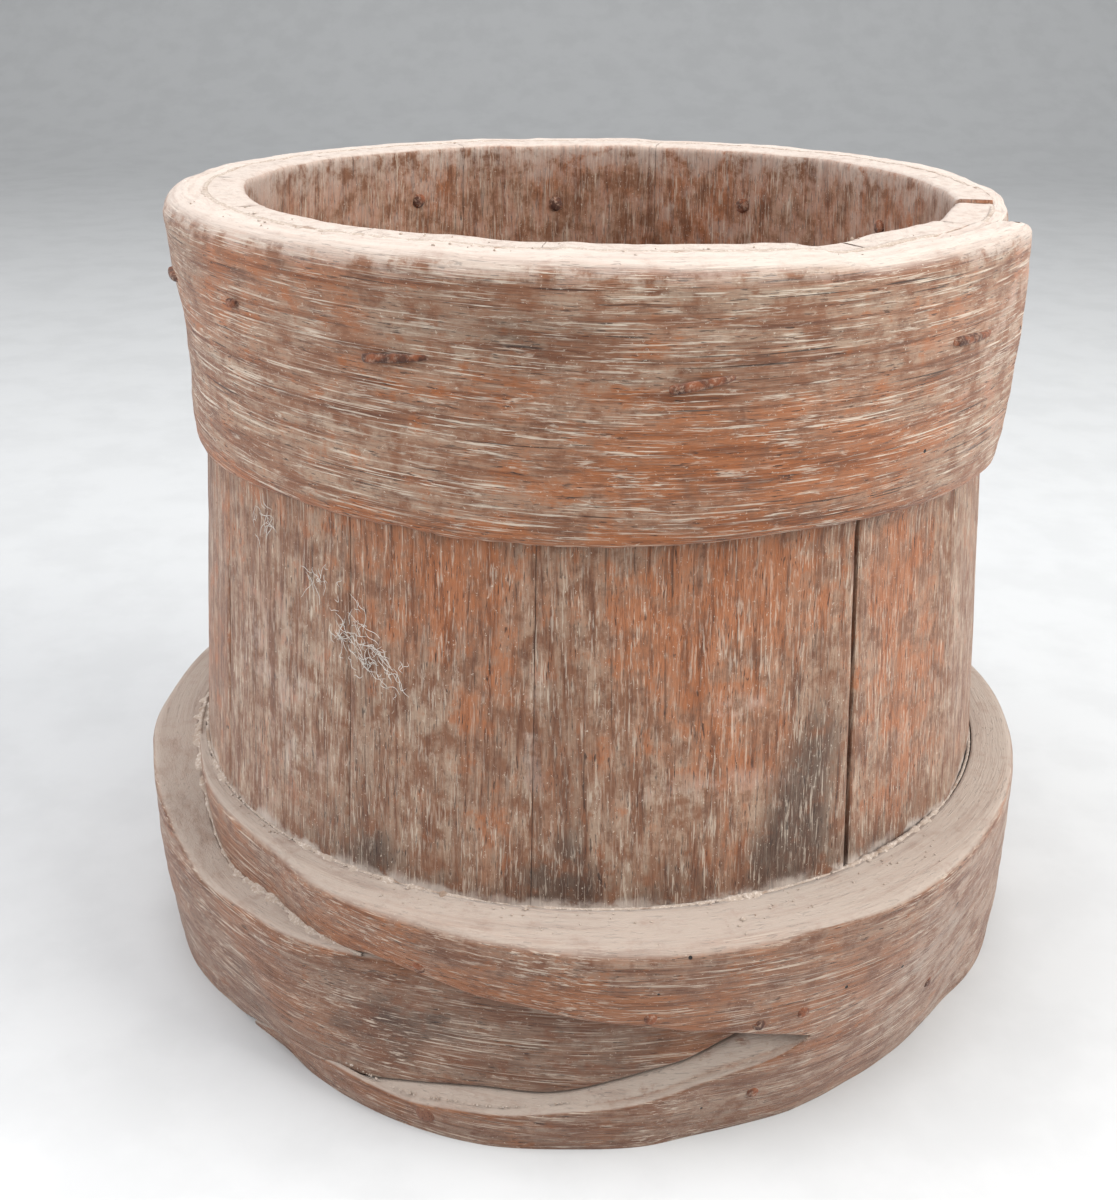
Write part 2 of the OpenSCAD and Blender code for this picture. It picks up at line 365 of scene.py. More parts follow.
def hand_over(piece: bpy.types.Object, finish: bpy.types.Material,
              stands_for: tuple[str, ...]) -> bpy.types.Object:
    """Dresses a piece, ties it to the tub's body and reports it.

    Args:
        piece: the finished object.
        finish: its material.
        stands_for: names of the solids that the piece replaces.

    Returns:
        The same object.
    """
    piece.data.materials.append(finish)
    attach(piece, BODY)
    if stands_for:
        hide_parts(*stands_for)
    log.info("%s: %d faces", piece.name, len(piece.data.polygons))
    return piece


# ---------------------------------------------------------------- materials

def linear(shade: str) -> tuple[float, float, float, float]:
    """Linear colour of an sRGB hex value: ((c + 0.055) / 1.055)^2.4, or c / 12.92 near black."""
    parts = [int(shade[k : k + 2], 16) / 255 for k in (1, 3, 5)]
    mixed = [c / 12.92 if c <= 0.04045 else ((c + 0.055) / 1.055) ** 2.4 for c in parts]
    return (*mixed, 1.0)


USUAL = {"MapRange": {"interpolation_type": "SMOOTHSTEP"}, "Math": {"use_clamp": True}}
MIX_COLOUR_INPUTS, MIX_COLOUR_RESULT = (0, 6, 7), 2


class Recipe:
    """A material being mixed: coats of colour are laid over each other through masks."""

    def __init__(self, name: str, ground: str) -> None:
        """Starts a material.

        Args:
            name: what the material is.
            ground: hex colour of the first coat.
        """
        self.material = bpy.data.materials.new(name)
        self.material.use_nodes = True
        self.tree = self.material.node_tree
        self.tree.nodes.clear()
        self.colour: tuple | Socket = linear(ground)

    def add(self, kind: str, inputs: dict | tuple = (), output: int | str = 0,
            **settings: object) -> Socket:
        """Adds a node with its settings and links.

        Args:
            kind: the node's type without its ShaderNode prefix.
            inputs: values or other nodes' outputs, in order or by input name or number.
            output: name or number of the output that is wanted.
            settings: the node's own settings by name.

        Returns:
            The wanted output.
        """
        node = self.tree.nodes.new("ShaderNode" + kind)
        for name, value in {**USUAL.get(kind, {}), **settings}.items():
            setattr(node, name, value)
        given = inputs if isinstance(inputs, dict) else dict(enumerate(inputs))
        for key, value in given.items():
            if isinstance(value, Socket):
                self.tree.links.new(value, node.inputs[key])
            else:
                node.inputs[key].default_value = value
        return node.outputs[output] if node.outputs else None

    def clouds(self, size: tuple[float, float, float], grain: bool = True, detail: float = 4.0,
               rough: float = 0.55, twist: float = 0.0) -> Socket:
        """Noise stretched to lumps of a real size.

        Args:
            size: lump size in millimetres: along, across and into the grain, or in x, y and z.
            grain: follows the grain of the wood; else the place in the tub.
            detail: number of finer layers.
            rough: strength of the finer layers.
            twist: how far the lumps are pulled about.

        Returns:
            Values round 0.5.
        """
        unit = 1.0 if grain else 1.0 / MM
        if grain:
            place = self.add("Attribute", output="Vector", attribute_name="grain")
        else:
            place = self.add("TexCoord", output="Object")
        stretch = tuple(unit / length for length in size)
        place = self.add("Mapping", {"Vector": place, "Scale": stretch})
        wanted = {"Vector": place, "Scale": 1.0, "Detail": detail, "Roughness": rough, "Distortion": twist}
        return self.add("TexNoise", wanted)

    def coat(self, shade: str, mask: object) -> None:
        """Lays a hex colour over what is there, where the mask says."""
        inputs = dict(zip(MIX_COLOUR_INPUTS, (mask, self.colour, linear(shade))))
        self.colour = self.add("Mix", inputs, MIX_COLOUR_RESULT, data_type="RGBA")

    def close(self, height: Socket, depth: float, roughness: object,
              specular: float = 0.3, sheen: float = 0.15) -> bpy.types.Material:
        """Closes the material with its relief and its sheen.

        Args:
            height: relief from 0 to 1.
            depth: depth of the relief in millimetres.
            roughness: a number, or an output where it varies.
            specular: strength of the reflection.
            sheen: strength of the soft glow of fine dust seen at a flat angle.

        Returns:
            The material.
        """
        bump = self.add("Bump", {"Height": height, "Distance": depth * MM, "Strength": 1.0})
        inputs = {"Base Color": self.colour, "Roughness": roughness, "Specular IOR Level": specular,
                  "Normal": bump, "Sheen Weight": sheen, "Sheen Roughness": 0.5}
        self.add("OutputMaterial", {"Surface": self.add("BsdfPrincipled", inputs)})
        return self.material


@dataclass(frozen=True)
class WeatheredOak:
    """Riven and shaved oak, dry and unpolished, handled for a long time and then stored in dust.

    The pores run with the grain as short dashes. Where dust fills them they are pale, elsewhere
    dark. Grey-beige grime lies over red-brown wood, and places of wear show orange. The marks
    also bring painted light and painted shade: orange and dust that lighten the insides of the
    staves, and a dark brown that paints the shadow under the foot hoop's upper tongue. Sizes are in
    millimetres; pores are drawn about twice their real width, so that they still show, and
    wormhole_size is the radius at which a hole's soft edge ends.
    """

    name: str
    brown: str = "#875a40"
    orange: str = "#a05d31"
    dark: str = "#573322"
    grime: str = "#af9a86"
    stained: str = "#3d2c24"
    pale: str = "#d5c7b6"
    dust: str = "#c0b3a9"
    open_pore: str = "#2e1c14"
    hole: str = "#140d0a"
    grime_amount: float = 0.8
    pale_amount: float = 0.8
    dark_amount: float = 0.6
    crack_amount: float = 0.8
    settled: float = 0.95
    filled_line: tuple[float, float, float] = (32.0, 0.62, 0.62)
    pore: tuple[float, float, float] = (5.0, 0.55, 0.8)
    streak: tuple[float, float, float] = (60.0, 3.2, 3.2)
    mottle: tuple[float, float, float] = (26.0, 1.8, 1.8)
    flake: tuple[float, float, float] = (12.0, 1.6, 1.6)
    wormhole_spacing: float = 19.0
    wormhole_amount: float = 1.0
    wormhole_size: float = 0.8
    relief: float = 0.7
    pit: float = 0.4

    def mix(self) -> bpy.types.Material:
        """Mixes the material: bare wood, grime, stains, pores, dust and wormholes, in that order.

        Returns:
            The finished oak.
        """
        r = Recipe(self.name, self.brown)
        streak = r.clouds(self.streak, detail=7.0, rough=0.6, twist=0.2)
        fibre = r.clouds((9.0, 0.35, 0.35), detail=3.0, rough=0.6)
        fine = r.clouds((9.0, 9.0, 9.0), grain=False, detail=7.0, rough=0.68)
        self.bare_wood(r, streak, fibre, fine)
        pores, lines = self.open_pores(r, fine)
        holes = self.wormholes(r)
        settled = self.settled_dust(r, fine, streak)
        r.coat(self.hole, holes)
        height = r.add("Math", (fibre, streak), operation="ADD", use_clamp=False)
        height = r.add("Math", (height, lines), operation="ADD", use_clamp=False)
        height = r.add("Math", (height, 3.0), operation="DIVIDE")
        lows = r.add("Math", (pores, holes), operation="ADD")
        lows = r.add("Math", (lows, self.pit), operation="MULTIPLY")
        height = r.add("Math", (height, lows), operation="SUBTRACT")
        rough = r.add("MapRange", (settled, 0.0, 1.0, 0.6, 0.95))
        return r.close(height, self.relief, rough)

    def ragged(self, r: Recipe, amount: Socket, fine: Socket, soft: float) -> Socket:
        """Turns a smooth amount into ragged patches: the amount plus the unevenness, cut off.

        Args:
            r: the material.
            amount: how much there is, 0 to 1.
            fine: fine unevenness.
            soft: width of the patches' soft edge.

        Returns:
            The mask.
        """
        swing = r.add("MapRange", (fine, 0.3, 0.7, -0.75, 0.75), interpolation_type="LINEAR")
        total = r.add("Math", (amount, swing), operation="ADD", use_clamp=False)
        return r.add("MapRange", (total, 0.5 - soft, 0.5 + soft))

    def bare_wood(self, r: Recipe, streak: Socket, fibre: Socket, fine: Socket) -> None:
        """Lays orange wear, partly painted light, dark streaks, the film of grime and the stains, partly
        painted shade, over the brown.
        """
        broad = r.clouds((75.0, 42.0, 36.0), detail=5.0, rough=0.62, twist=0.6)
        # this mark is wear, and inside the staves it is partly painted light that lightens the inside
        worn = r.add("Attribute", output="Fac", attribute_name="worn")
        rubbed_and_lit = r.add("MapRange", (broad, 0.44, 0.66, 0.0, 0.5))
        rubbed_and_lit = r.add("Math", (rubbed_and_lit, worn), operation="ADD")
        rubbed_and_lit = self.ragged(r, rubbed_and_lit, fine, 0.45)
        r.coat(self.orange, rubbed_and_lit)
        r.coat(self.dark, r.add("MapRange", (streak, 0.5, 0.74, 0.0, self.dark_amount)))
        r.coat(self.dark, r.add("MapRange", (fibre, 0.48, 0.72, 0.0, 0.5)))
        mottle = r.clouds(self.mottle, detail=7.0, rough=0.7, twist=0.4)
        r.coat(self.dark, r.add("MapRange", (mottle, 0.5, 0.62, 0.0, self.dark_amount)))
        film = r.add("MapRange", (streak, 0.66, 0.38))
        film = r.add("Math", (film, r.add("MapRange", (fine, 0.36, 0.6))), operation="MULTIPLY")
        film = r.add("Math", (film, r.add("Math", (1.2, rubbed_and_lit), operation="SUBTRACT")), operation="MULTIPLY")
        r.coat(self.grime, r.add("Math", (film, self.grime_amount), operation="MULTIPLY"))
        # this mark holds real stains and, on the foot hoop, a painted shadow under the upper tongue; the
        # stained colour paints both
        stain_and_shade = r.add("Attribute", output="Fac", attribute_name="stain_and_shade")
        stain_and_shade = r.add("Math", (self.ragged(r, stain_and_shade, fine, 0.5), stain_and_shade), operation="MULTIPLY")
        r.coat(self.stained, r.add("Math", (stain_and_shade, 0.8), operation="MULTIPLY"))

    def open_pores(self, r: Recipe, fine: Socket) -> tuple[Socket, Socket]:
        """Lays dust-filled lines, dark pores and specks of dust over the wood.

        Args:
            r: the material.
            fine: fine unevenness.

        Returns:
            The mask of the dark pores and the noise of the filled lines.
        """
        flakes = r.clouds(self.flake, detail=8.0, rough=0.72, twist=0.5)
        r.coat(self.pale, r.add("MapRange", (flakes, 0.56, 0.64, 0.0, 0.6 * self.pale_amount)))
        lines = r.clouds(self.filled_line, detail=3.5, rough=0.6, twist=0.3)
        patches = r.clouds((34.0, 8.0, 8.0), detail=4.0, rough=0.6)
        filled = r.add("MapRange", (patches, 0.42, 0.6, 0.1, self.pale_amount))
        filled = r.add("Math", (r.add("MapRange", (lines, 0.55, 0.62)), filled), operation="MULTIPLY")
        r.coat(self.pale, filled)
        cracks = r.clouds((48.0, 1.1, 4.0), detail=2.5, rough=0.5, twist=0.25)
        r.coat(self.open_pore, r.add("MapRange", (cracks, 0.66, 0.7, 0.0, self.crack_amount)))
        open_pores = r.clouds(self.pore, detail=2.0, rough=0.5, twist=0.1)
        gathered = r.add("MapRange", (fine, 0.42, 0.6, 0.25, 1.0))
        dark = r.add("MapRange", (open_pores, 0.62, 0.69, 0.0, self.dark_amount + 0.2))
        dark = r.add("Math", (dark, gathered), operation="MULTIPLY")
        r.coat(self.open_pore, dark)
        specks = r.clouds((1.2, 0.9, 0.9), detail=4.0, rough=0.7)
        r.coat(self.pale, r.add("MapRange", (specks, 0.63, 0.69, 0.0, 0.7)))
        return dark, lines

    def wormholes(self, r: Recipe) -> Socket:
        """Round flight holes of woodworm, one in some cells of an uneven lattice.

        Args:
            r: the material.

        Returns:
            The mask of the holes.
        """
        spacing = self.wormhole_spacing
        place = r.add("TexCoord", output="Object")
        place = r.add("Mapping", {"Vector": place, "Scale": (1 / (spacing * MM),) * 3})
        cells = r.add("TexVoronoi", {"Vector": place, "Scale": 1.0})
        chosen = r.add("TexVoronoi", {"Vector": place, "Scale": 1.0}, "Color")
        inside = r.add("MapRange", (cells, self.wormhole_size / spacing, 0.75 * self.wormhole_size / spacing))
        chosen = r.add("MapRange", (chosen, 0.52, 0.56, 0.0, self.wormhole_amount))
        return r.add("Math", (inside, chosen), operation="MULTIPLY")

    def settled_dust(self, r: Recipe, fine: Socket, streak: Socket) -> Socket:
        """Lays dust on faces that look up and where the piece is marked dusty; on the insides of the staves
        that mark is partly painted light.

        Args:
            r: the material.
            fine: fine unevenness, which breaks the dust up.
            streak: streaks of the grain, which show through it.

        Returns:
            The mask of the dust.
        """
        facing = r.add("SeparateXYZ", (r.add("NewGeometry", output="Normal"),), "Z")
        lying = r.add("MapRange", (facing, 0.3, 0.85, 0.0, self.settled))
        # dust mark; inside the staves it is partly painted light
        marked = r.add("Attribute", output="Fac", attribute_name="dust")
        marked = r.add("Math", (self.ragged(r, marked, fine, 0.4), marked), operation="MULTIPLY")
        settled = r.add("Math", (lying, marked), operation="MAXIMUM")
        uneven = r.add("MapRange", (fine, 0.2, 0.5, 0.55, 1.0))
        through_it = r.add("MapRange", (streak, 0.74, 0.42, 0.7, 1.0))
        settled = r.add("Math", (settled, uneven), operation="MULTIPLY")
        settled = r.add("Math", (settled, through_it), operation="MULTIPLY")
        r.coat(self.dust, settled)
        return settled


@dataclass(frozen=True)
class RustyIron:
    """Hand-forged nail iron, rusted right through: no bare metal, brown crust with orange bloom."""

    name: str = "wrought iron, rusted"
    crust: str = "#4c3026"
    bloom: str = "#8b5236"
    dust: str = "#a98c79"

    def mix(self) -> bpy.types.Material:
        """Mixes crust, bloom and a film of dust.

        Returns:
            The finished rust.
        """
        r = Recipe(self.name, self.crust)
        crust = r.clouds((1.4, 1.4, 1.4), grain=False, detail=6.0, rough=0.7)
        bloom = r.clouds((5.0, 5.0, 5.0), grain=False, detail=4.0, rough=0.6)
        r.coat(self.bloom, r.add("MapRange", (bloom, 0.4, 0.6, 0.0, 0.85)))
        r.coat(self.dust, r.add("MapRange", (crust, 0.48, 0.66, 0.0, 0.7)))
        return r.close(crust, 0.35, 0.85, specular=0.25)


@dataclass(frozen=True)
class PeggedWood:
    """End grain of a split hardwood peg or dowel, dirty from handling, with open round pores."""

    name: str = "split oak, end grain"
    wood: str = "#7c5340"
    pore: str = "#4a3026"
    dirt: str = "#a58a76"

    def mix(self) -> bpy.types.Material:
        """Mixes end grain and dirt.

        Returns:
            The finished end grain.
        """
        r = Recipe(self.name, self.wood)
        pores = r.clouds((0.7, 0.7, 0.7), grain=False, detail=3.0, rough=0.6)
        dirt = r.clouds((3.0, 3.0, 3.0), grain=False, detail=4.0, rough=0.6)
        r.coat(self.pore, r.add("MapRange", (pores, 0.5, 0.65, 0.0, 0.8)))
        r.coat(self.dirt, r.add("MapRange", (dirt, 0.55, 0.75, 0.0, 0.5)))
        return r.close(pores, 0.3, 0.85)


@dataclass(frozen=True)
class SettledDust:
    """House dust, cobweb and crumbs of old wood that lie loose on the ledges."""

    name: str = "settled dust and crumbs"
    ground: str = "#ab9b8e"
    light: str = "#cfc3b9"
    crumb: str = "#80644f"

    def mix(self) -> bpy.types.Material:
        """Mixes pale dust with brown crumbs.

        Returns:
            The finished dust.
        """
        r = Recipe(self.name, self.ground)
        bits = r.clouds((1.1, 1.1, 1.1), grain=False, detail=4.0, rough=0.7)
        lumps = r.clouds((9.0, 9.0, 9.0), grain=False, detail=3.0, rough=0.6)
        r.coat(self.light, r.add("MapRange", (bits, 0.48, 0.66, 0.0, 0.8)))
        r.coat(self.crumb, r.add("MapRange", (lumps, 0.55, 0.7, 0.0, 0.6)))
        return r.close(bits, 0.5, 0.98, specular=0.1)


@dataclass(frozen=True)
class PaleFloor:
    """Matt pale board that the tub stands on, with a very faint mottle."""

    name: str = "pale matt board"
    light: str = "#c4c5c6"
    darker: str = "#bcbdbe"

    def mix(self) -> bpy.types.Material:
        """Mixes the board's two greys.

        Returns:
            The finished board.
        """
        r = Recipe(self.name, self.light)
        mottle = r.clouds((60.0, 60.0, 60.0), grain=False, detail=5.0, rough=0.6)
        r.coat(self.darker, r.add("MapRange", (mottle, 0.4, 0.65, 0.0, 0.6)))
        return r.close(mottle, 0.2, 0.9, specular=0.2)


# ---------------------------------------------------------------- the tub

def rounded(distance: Array, corner: float) -> Array:
    """How far a face draws back near an edge that is rounded: c - sqrt(c^2 - (c - d)^2)."""
    short = np.clip(corner - distance, 0.0, corner)
    return corner - np.sqrt(np.maximum(corner**2 - short**2, 0.0))


def front(turn: Array) -> Array:
    """The same turn between -180 and 180 degrees."""
    return (np.asarray(turn, float) + 180.0) % 360.0 - 180.0


@dataclass
class TubShape:
    """The tapered round of staves that everything else is fitted to."""

    foot_radius: float = 160.0
    rim_radius: float = 137.5
    stave: float = 12.8
    tub_height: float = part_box("stave_01")[1].z / MM
    rim_step: float = 1.3
    rim_wear: Keys = (
        (-180, -0.6), (-120, -0.2), (-84, 0.2), (-20, 0.4), (4, 0.0), (14, -0.3), (24, -1.1), (30, -2.5),
        (33.4, -2.4), (41, -1.8), (55, -1.4), (70, -1.6), (85, -1.6), (130, -0.8), (180, -0.6),
    )
    relief: Relief = field(default_factory=lambda: Relief(5))

    def outer(self, z: Array) -> Array:
        """Outer radius of the staves at a height: a straight taper from foot to rim."""
        return self.foot_radius - (self.foot_radius - self.rim_radius) * z / self.tub_height

    def rim(self, turn: Array) -> Array:
        """Height of the worn rim at a turn, uneven by a few tenths."""
        around = np.radians(front(turn))
        uneven = self.relief.layers(9 * np.sin(around) + 20, 9 * np.cos(around) + 20)
        return self.tub_height + through(self.rim_wear, front(turn)) + 0.35 * uneven

    def step(self, turn: Array) -> Array:
        """How far the rim lies lower on the bare tongue of the rim hoop, just past its lap."""
        return self.rim_step * (ease(60, 62, turn) - ease(80, 84, turn))


@dataclass
class Staves:
    """Twelve tapered staves with a groove for the bottom cut round the inside.

    Each stave is its own piece: a closed section of foot, outer face, rim and inner face is
    carried from joint to joint. Outer radius = taper + chord flatness + slow unevenness. A
    flatness of 0 follows the round and 1 follows the straight chord between the joints.
    """

    shape: TubShape
    joints: tuple[float, ...] = (-59, -32, -7.6, 33.5, 55.6, 80, 103, 131, 167, 206, 238, 270, 301)
    open_joint: int = 3
    gap: float = 0.16
    arris: float = 0.6
    between_hoops: tuple[float, float] = (80.0, 212.0)
    rim_corner: float = 2.2
    foot_corner: float = 3.0
    groove_height: float = 29.0
    groove_depth: float = 5.0
    groove_mouth: float = 4.8
    groove_floor: float = 3.0
    usual_flatness: float = 0.12
    usual_inner_flatness: float = 0.3
    flatness: dict[int, float] = field(default_factory=lambda: {3: 0.9, 4: 0.35})
    inner_flatness: dict[int, float] = field(default_factory=lambda: {2: 0.1, 3: 1.0, 4: 0.8})
    lower_stave: int = 4
    relief: Relief = field(default_factory=lambda: Relief(11))

    def build(self, finish: bpy.types.Material) -> None:
        """Builds every stave and dresses it."""
        for number in range(len(self.joints) - 1):
            name = f"stave_{number + 1:02d}"
            shell = Shell(f"oak_{name}")
            shell.add_loops(self.section(number).table())
            hand_over(shell.build(), finish, (name,))

    def inside_face(self, turn: float, z: float) -> float:
        """Radius of the inner face above the groove: the taper less the stave, plus the chord."""
        turn = (turn - self.joints[0]) % 360.0 + self.joints[0]
        number = int(np.searchsorted(self.joints, turn)) - 1
        left, right = self.joints[number], self.joints[number + 1]
        half, aside = math.radians((right - left) / 2), math.radians(turn - (left + right) / 2)
        chord = math.cos(half) / math.cos(aside) - 1
        base = float(self.shape.outer(np.array(z)))
        flat = self.inner_flatness.get(number, self.usual_inner_flatness)
        return base * (1 + chord * flat) - self.shape.stave

    def joint_gap(self, joint: int, z: Array) -> Array:
        """Width of a joint at a height; the open one narrows from 2 mm at the foot to 1.3."""
        if joint % (len(self.joints) - 1) != self.open_joint:
            return np.full_like(z, self.gap)
        return 2.0 - 0.7 * z / self.shape.tub_height + 0.25 * self.relief.at(z / 9, z * 0 + 3)

    def section(self, number: int) -> Section:
        """Loops of one stave from its left to its right joint.

        Args:
            number: the stave's place round the tub, from 0.

        Returns:
            The section with its grain and marks.
        """
        left, right = self.joints[number], self.joints[number + 1]
        middle, half = (left + right) / 2, (right - left) / 2
        reach = math.radians(right - left) * self.shape.foot_radius
        share = spread(0.0, 1.0, 1.7 / reach, 2.4 / reach)
        turn = left + (right - left) * share
        top = self.shape.rim(turn) - self.shape.rim_step * (number == self.lower_stave)
        low, high = self.between_hoops
        level = np.concatenate([
            [0.0, 0.6, 1.6], spread(4.0, low, 6.0)[:-1], spread(low, high, 1.55)[:-1],
            spread(high, 284.0, 3.5)[:-1], [284.0, 286.0, 287.6, 288.8, 289.5, 290.0]])
        t, level = turn[:, None], level[None, :] * (top[:, None] / self.shape.tub_height)
        base = self.shape.outer(level)
        chord = np.cos(math.radians(half)) / np.cos(np.radians(t - middle)) - 1.0
        shown = ease(60.0, 84.0, level) * (1.0 - ease(200.0, high, level))
        uneven = 0.3 * self.relief.layers(t * 2.6 / 13, level / 70 + number * 5)
        ripple = 0.16 * self.relief.layers(t * 2.6 / 2.6, level / 26 + number * 9, 2)
        edge = np.minimum(t - left, right - t) * math.radians(1) * base
        arris = self.arris * np.clip(1 - edge / 2.4, 0, 1) ** 2
        warp = 0.35 * self.relief.at(np.array([[number * 3.7]]), np.array([[5.5]]))
        outer = base + base * chord * self.flatness.get(number, self.usual_flatness) * shown
        outer = outer + (uneven + ripple + warp - 0.25) * shown - arris * shown
        inner = base - self.shape.stave + 0.35 * uneven + 0.5 * ripple - arris
        flat = self.inner_flatness.get(number, self.usual_inner_flatness)
        inner = inner + base * chord * flat * ease(40.0, 60.0, level)
        inner = inner + rounded(top[:, None] - level, self.rim_corner) + rounded(level, self.foot_corner)
        from_groove = np.abs(level - self.groove_height)
        inner = inner + self.groove_depth * (1 - ease(self.groove_floor, self.groove_mouth, from_groove))
        s = Section.ring(t[:, 0], (outer, level + 0 * outer), (inner, level + 0 * inner), 8)
        gaps = (self.joint_gap(number, s.height), self.joint_gap(number + 1, s.height))
        trim = [np.degrees(g / 2 / s.radius) for g in gaps]
        part = np.broadcast_to(share[:, None], s.radius.shape)
        s.turn = left + trim[0] + (right - left - trim[0] - trim[1]) * part
        worn_top = s.on(Side.TOP) * 0.25 * self.relief.layers(s.turn * 1.3, s.radius / 3)
        s.height = s.height + worn_top
        self.paint(s, number)
        return s

    def paint(self, s: Section, number: int) -> None:
        """Sets the grain and the marks of a stave; inside, the orange and the dust are partly painted light.

        Args:
            s: the stave's section.
            number: its place round the tub.
        """
        a, z = s.turn, s.height
        middle = (self.joints[number] + self.joints[number + 1]) / 2
        s.along = z + 700.0 * number
        s.across = np.radians(a - middle) * s.radius + 90.0 * number
        out, inside = s.on(Side.OUTER), s.on(Side.INNER)
        cloud = 0.5 + 0.5 * self.relief.layers(a / 4 + 40, z / 12)
        foot_line = 1 - ease(85.0, 92.0, z)
        worn = 0.05 + 0.5 * patch(a, z, -26, 190, 9, 30) + 0.4 * patch(a, z, -13, 180, 6, 36)
        worn = worn + 0.6 * patch(a, z, 16, 184, 15, 30) + 0.4 * patch(a, z, 20, 138, 8, 18)
        worn = worn + 0.35 * patch(a, z, 44, 160, 11, 60)
        # inside, the orange of wear is laid strongly, partly as painted light that lightens the inside of the
        # tub
        s.worn = out * worn + inside * (0.35 + 0.3 * cloud)
        stain_and_shade = 0.75 * (1 - ease(92.0, 126.0, z + 14 * cloud)) * (1 - ease(36, 60, np.abs(a - 4)))
        stain_and_shade = stain_and_shade + 0.95 * patch(a - (z - 110) * 0.09, z, 25.5, 118, 5.5, 34)
        stain_and_shade = stain_and_shade + 0.5 * patch(a, z, -4, 120, 4, 60) + 0.35 * patch(a, z, -29, 120, 4, 50)
        s.stain_and_shade = np.clip(out * stain_and_shade, 0, 1)
        dust = 0.9 * foot_line * (0.6 + 0.8 * cloud) + 0.45 * patch(a, z, -46, 130, 13, 50) * cloud
        dust = dust + 0.34 * patch(a, z, 14, 126, 12, 6) + 0.4 * patch(a, z, 17, 152, 5, 4)
        dust = dust + 0.4 * patch(a, z, -7.6, 145, 1.6, 24) + 0.35 * patch(a, z, 62, 130, 12, 45) * cloud
        # inside: dust, paler towards the rim, laid thick enough to lighten the inside as painted light
        inside_dust_and_light = 0.3 + 0.12 * cloud + 0.35 * ease(272, self.shape.tub_height, z)
        s.dust = np.clip(out * dust + s.on(Side.TOP) * 0.95 + inside * inside_dust_and_light, 0, 1)


@dataclass
class HeadBoards:
    """The bottom: three boards edge to edge, bevelled all round to fit the groove.

    A lens-shaped loop across the thickness is carried over each board's width, and its length
    is the chord of the round there: 2 sqrt(R^2 - p^2).
    """

    shape: TubShape
    along_turn: float = 20.0
    width: float = 96.0
    low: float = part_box("head_board_middle")[0].z / MM
    high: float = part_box("head_board_middle")[1].z / MM
    edge_thickness: float = 5.4
    bevel: float = 8.0
    reach: float = 149.4
    play: float = 0.15
    relief: Relief = field(default_factory=lambda: Relief(23))

    def build(self, finish: bpy.types.Material) -> None:
        """Builds the three boards and dresses them."""
        half, tip = self.width / 2, self.reach - 0.5
        bands = {"front": (-tip, -half), "middle": (-half, half), "back": (half, tip)}
        for name, (near, far) in bands.items():
            shell = Shell(f"oak_head_board_{name}")
            shell.add_loops(self.table(near + self.play, far - self.play))
            hand_over(shell.build(), finish, (f"head_board_{name}",))

    def table(self, near: float, far: float) -> Array:
        """Loops of one board between two distances from the middle line."""
        p = spread(near, far, 2.4, 2.0)[:, None]
        chord = np.sqrt(np.maximum(self.reach**2 - p**2, 1.0))
        part = spread(-1.0, 1.0, 0.02, 0.05)[None, :]
        q = chord * part
        middle, thick = (self.low + self.high) / 2, self.high - self.low
        from_edge = self.reach - np.hypot(p, q)
        half = self.edge_thickness / 2 + (thick - self.edge_thickness) / 2 * ease(0, self.bevel, from_edge)
        seam = 0.5 * np.clip(1 - np.minimum(p - near, far - p) / 1.5, 0, 1) ** 2
        wave = 0.25 * self.relief.layers(p / 9, q / 60) + 0.12 * self.relief.layers(p / 2.2, q / 22)
        top = middle + half + wave * ease(0, self.bevel, from_edge) - seam
        under = middle - half + seam
        across = np.concatenate([q, q[:, ::-1]], axis=1)
        height = np.concatenate([top, under[:, ::-1]], axis=1)
        apart = p + 0 * across
        a = math.radians(self.along_turn)
        place = np.stack([across * math.sin(a) + apart * math.cos(a),
                          -across * math.cos(a) + apart * math.sin(a), height], axis=-1) * MM
        dust = 0.35 * (height > middle) * ease(95, 140, np.hypot(apart, across))
        marks = np.stack([dust, 0.15 + 0 * dust, 0.5 + 0 * dust], axis=-1)
        return np.concatenate([place, np.stack([across, apart, height], axis=-1), marks], axis=-1)


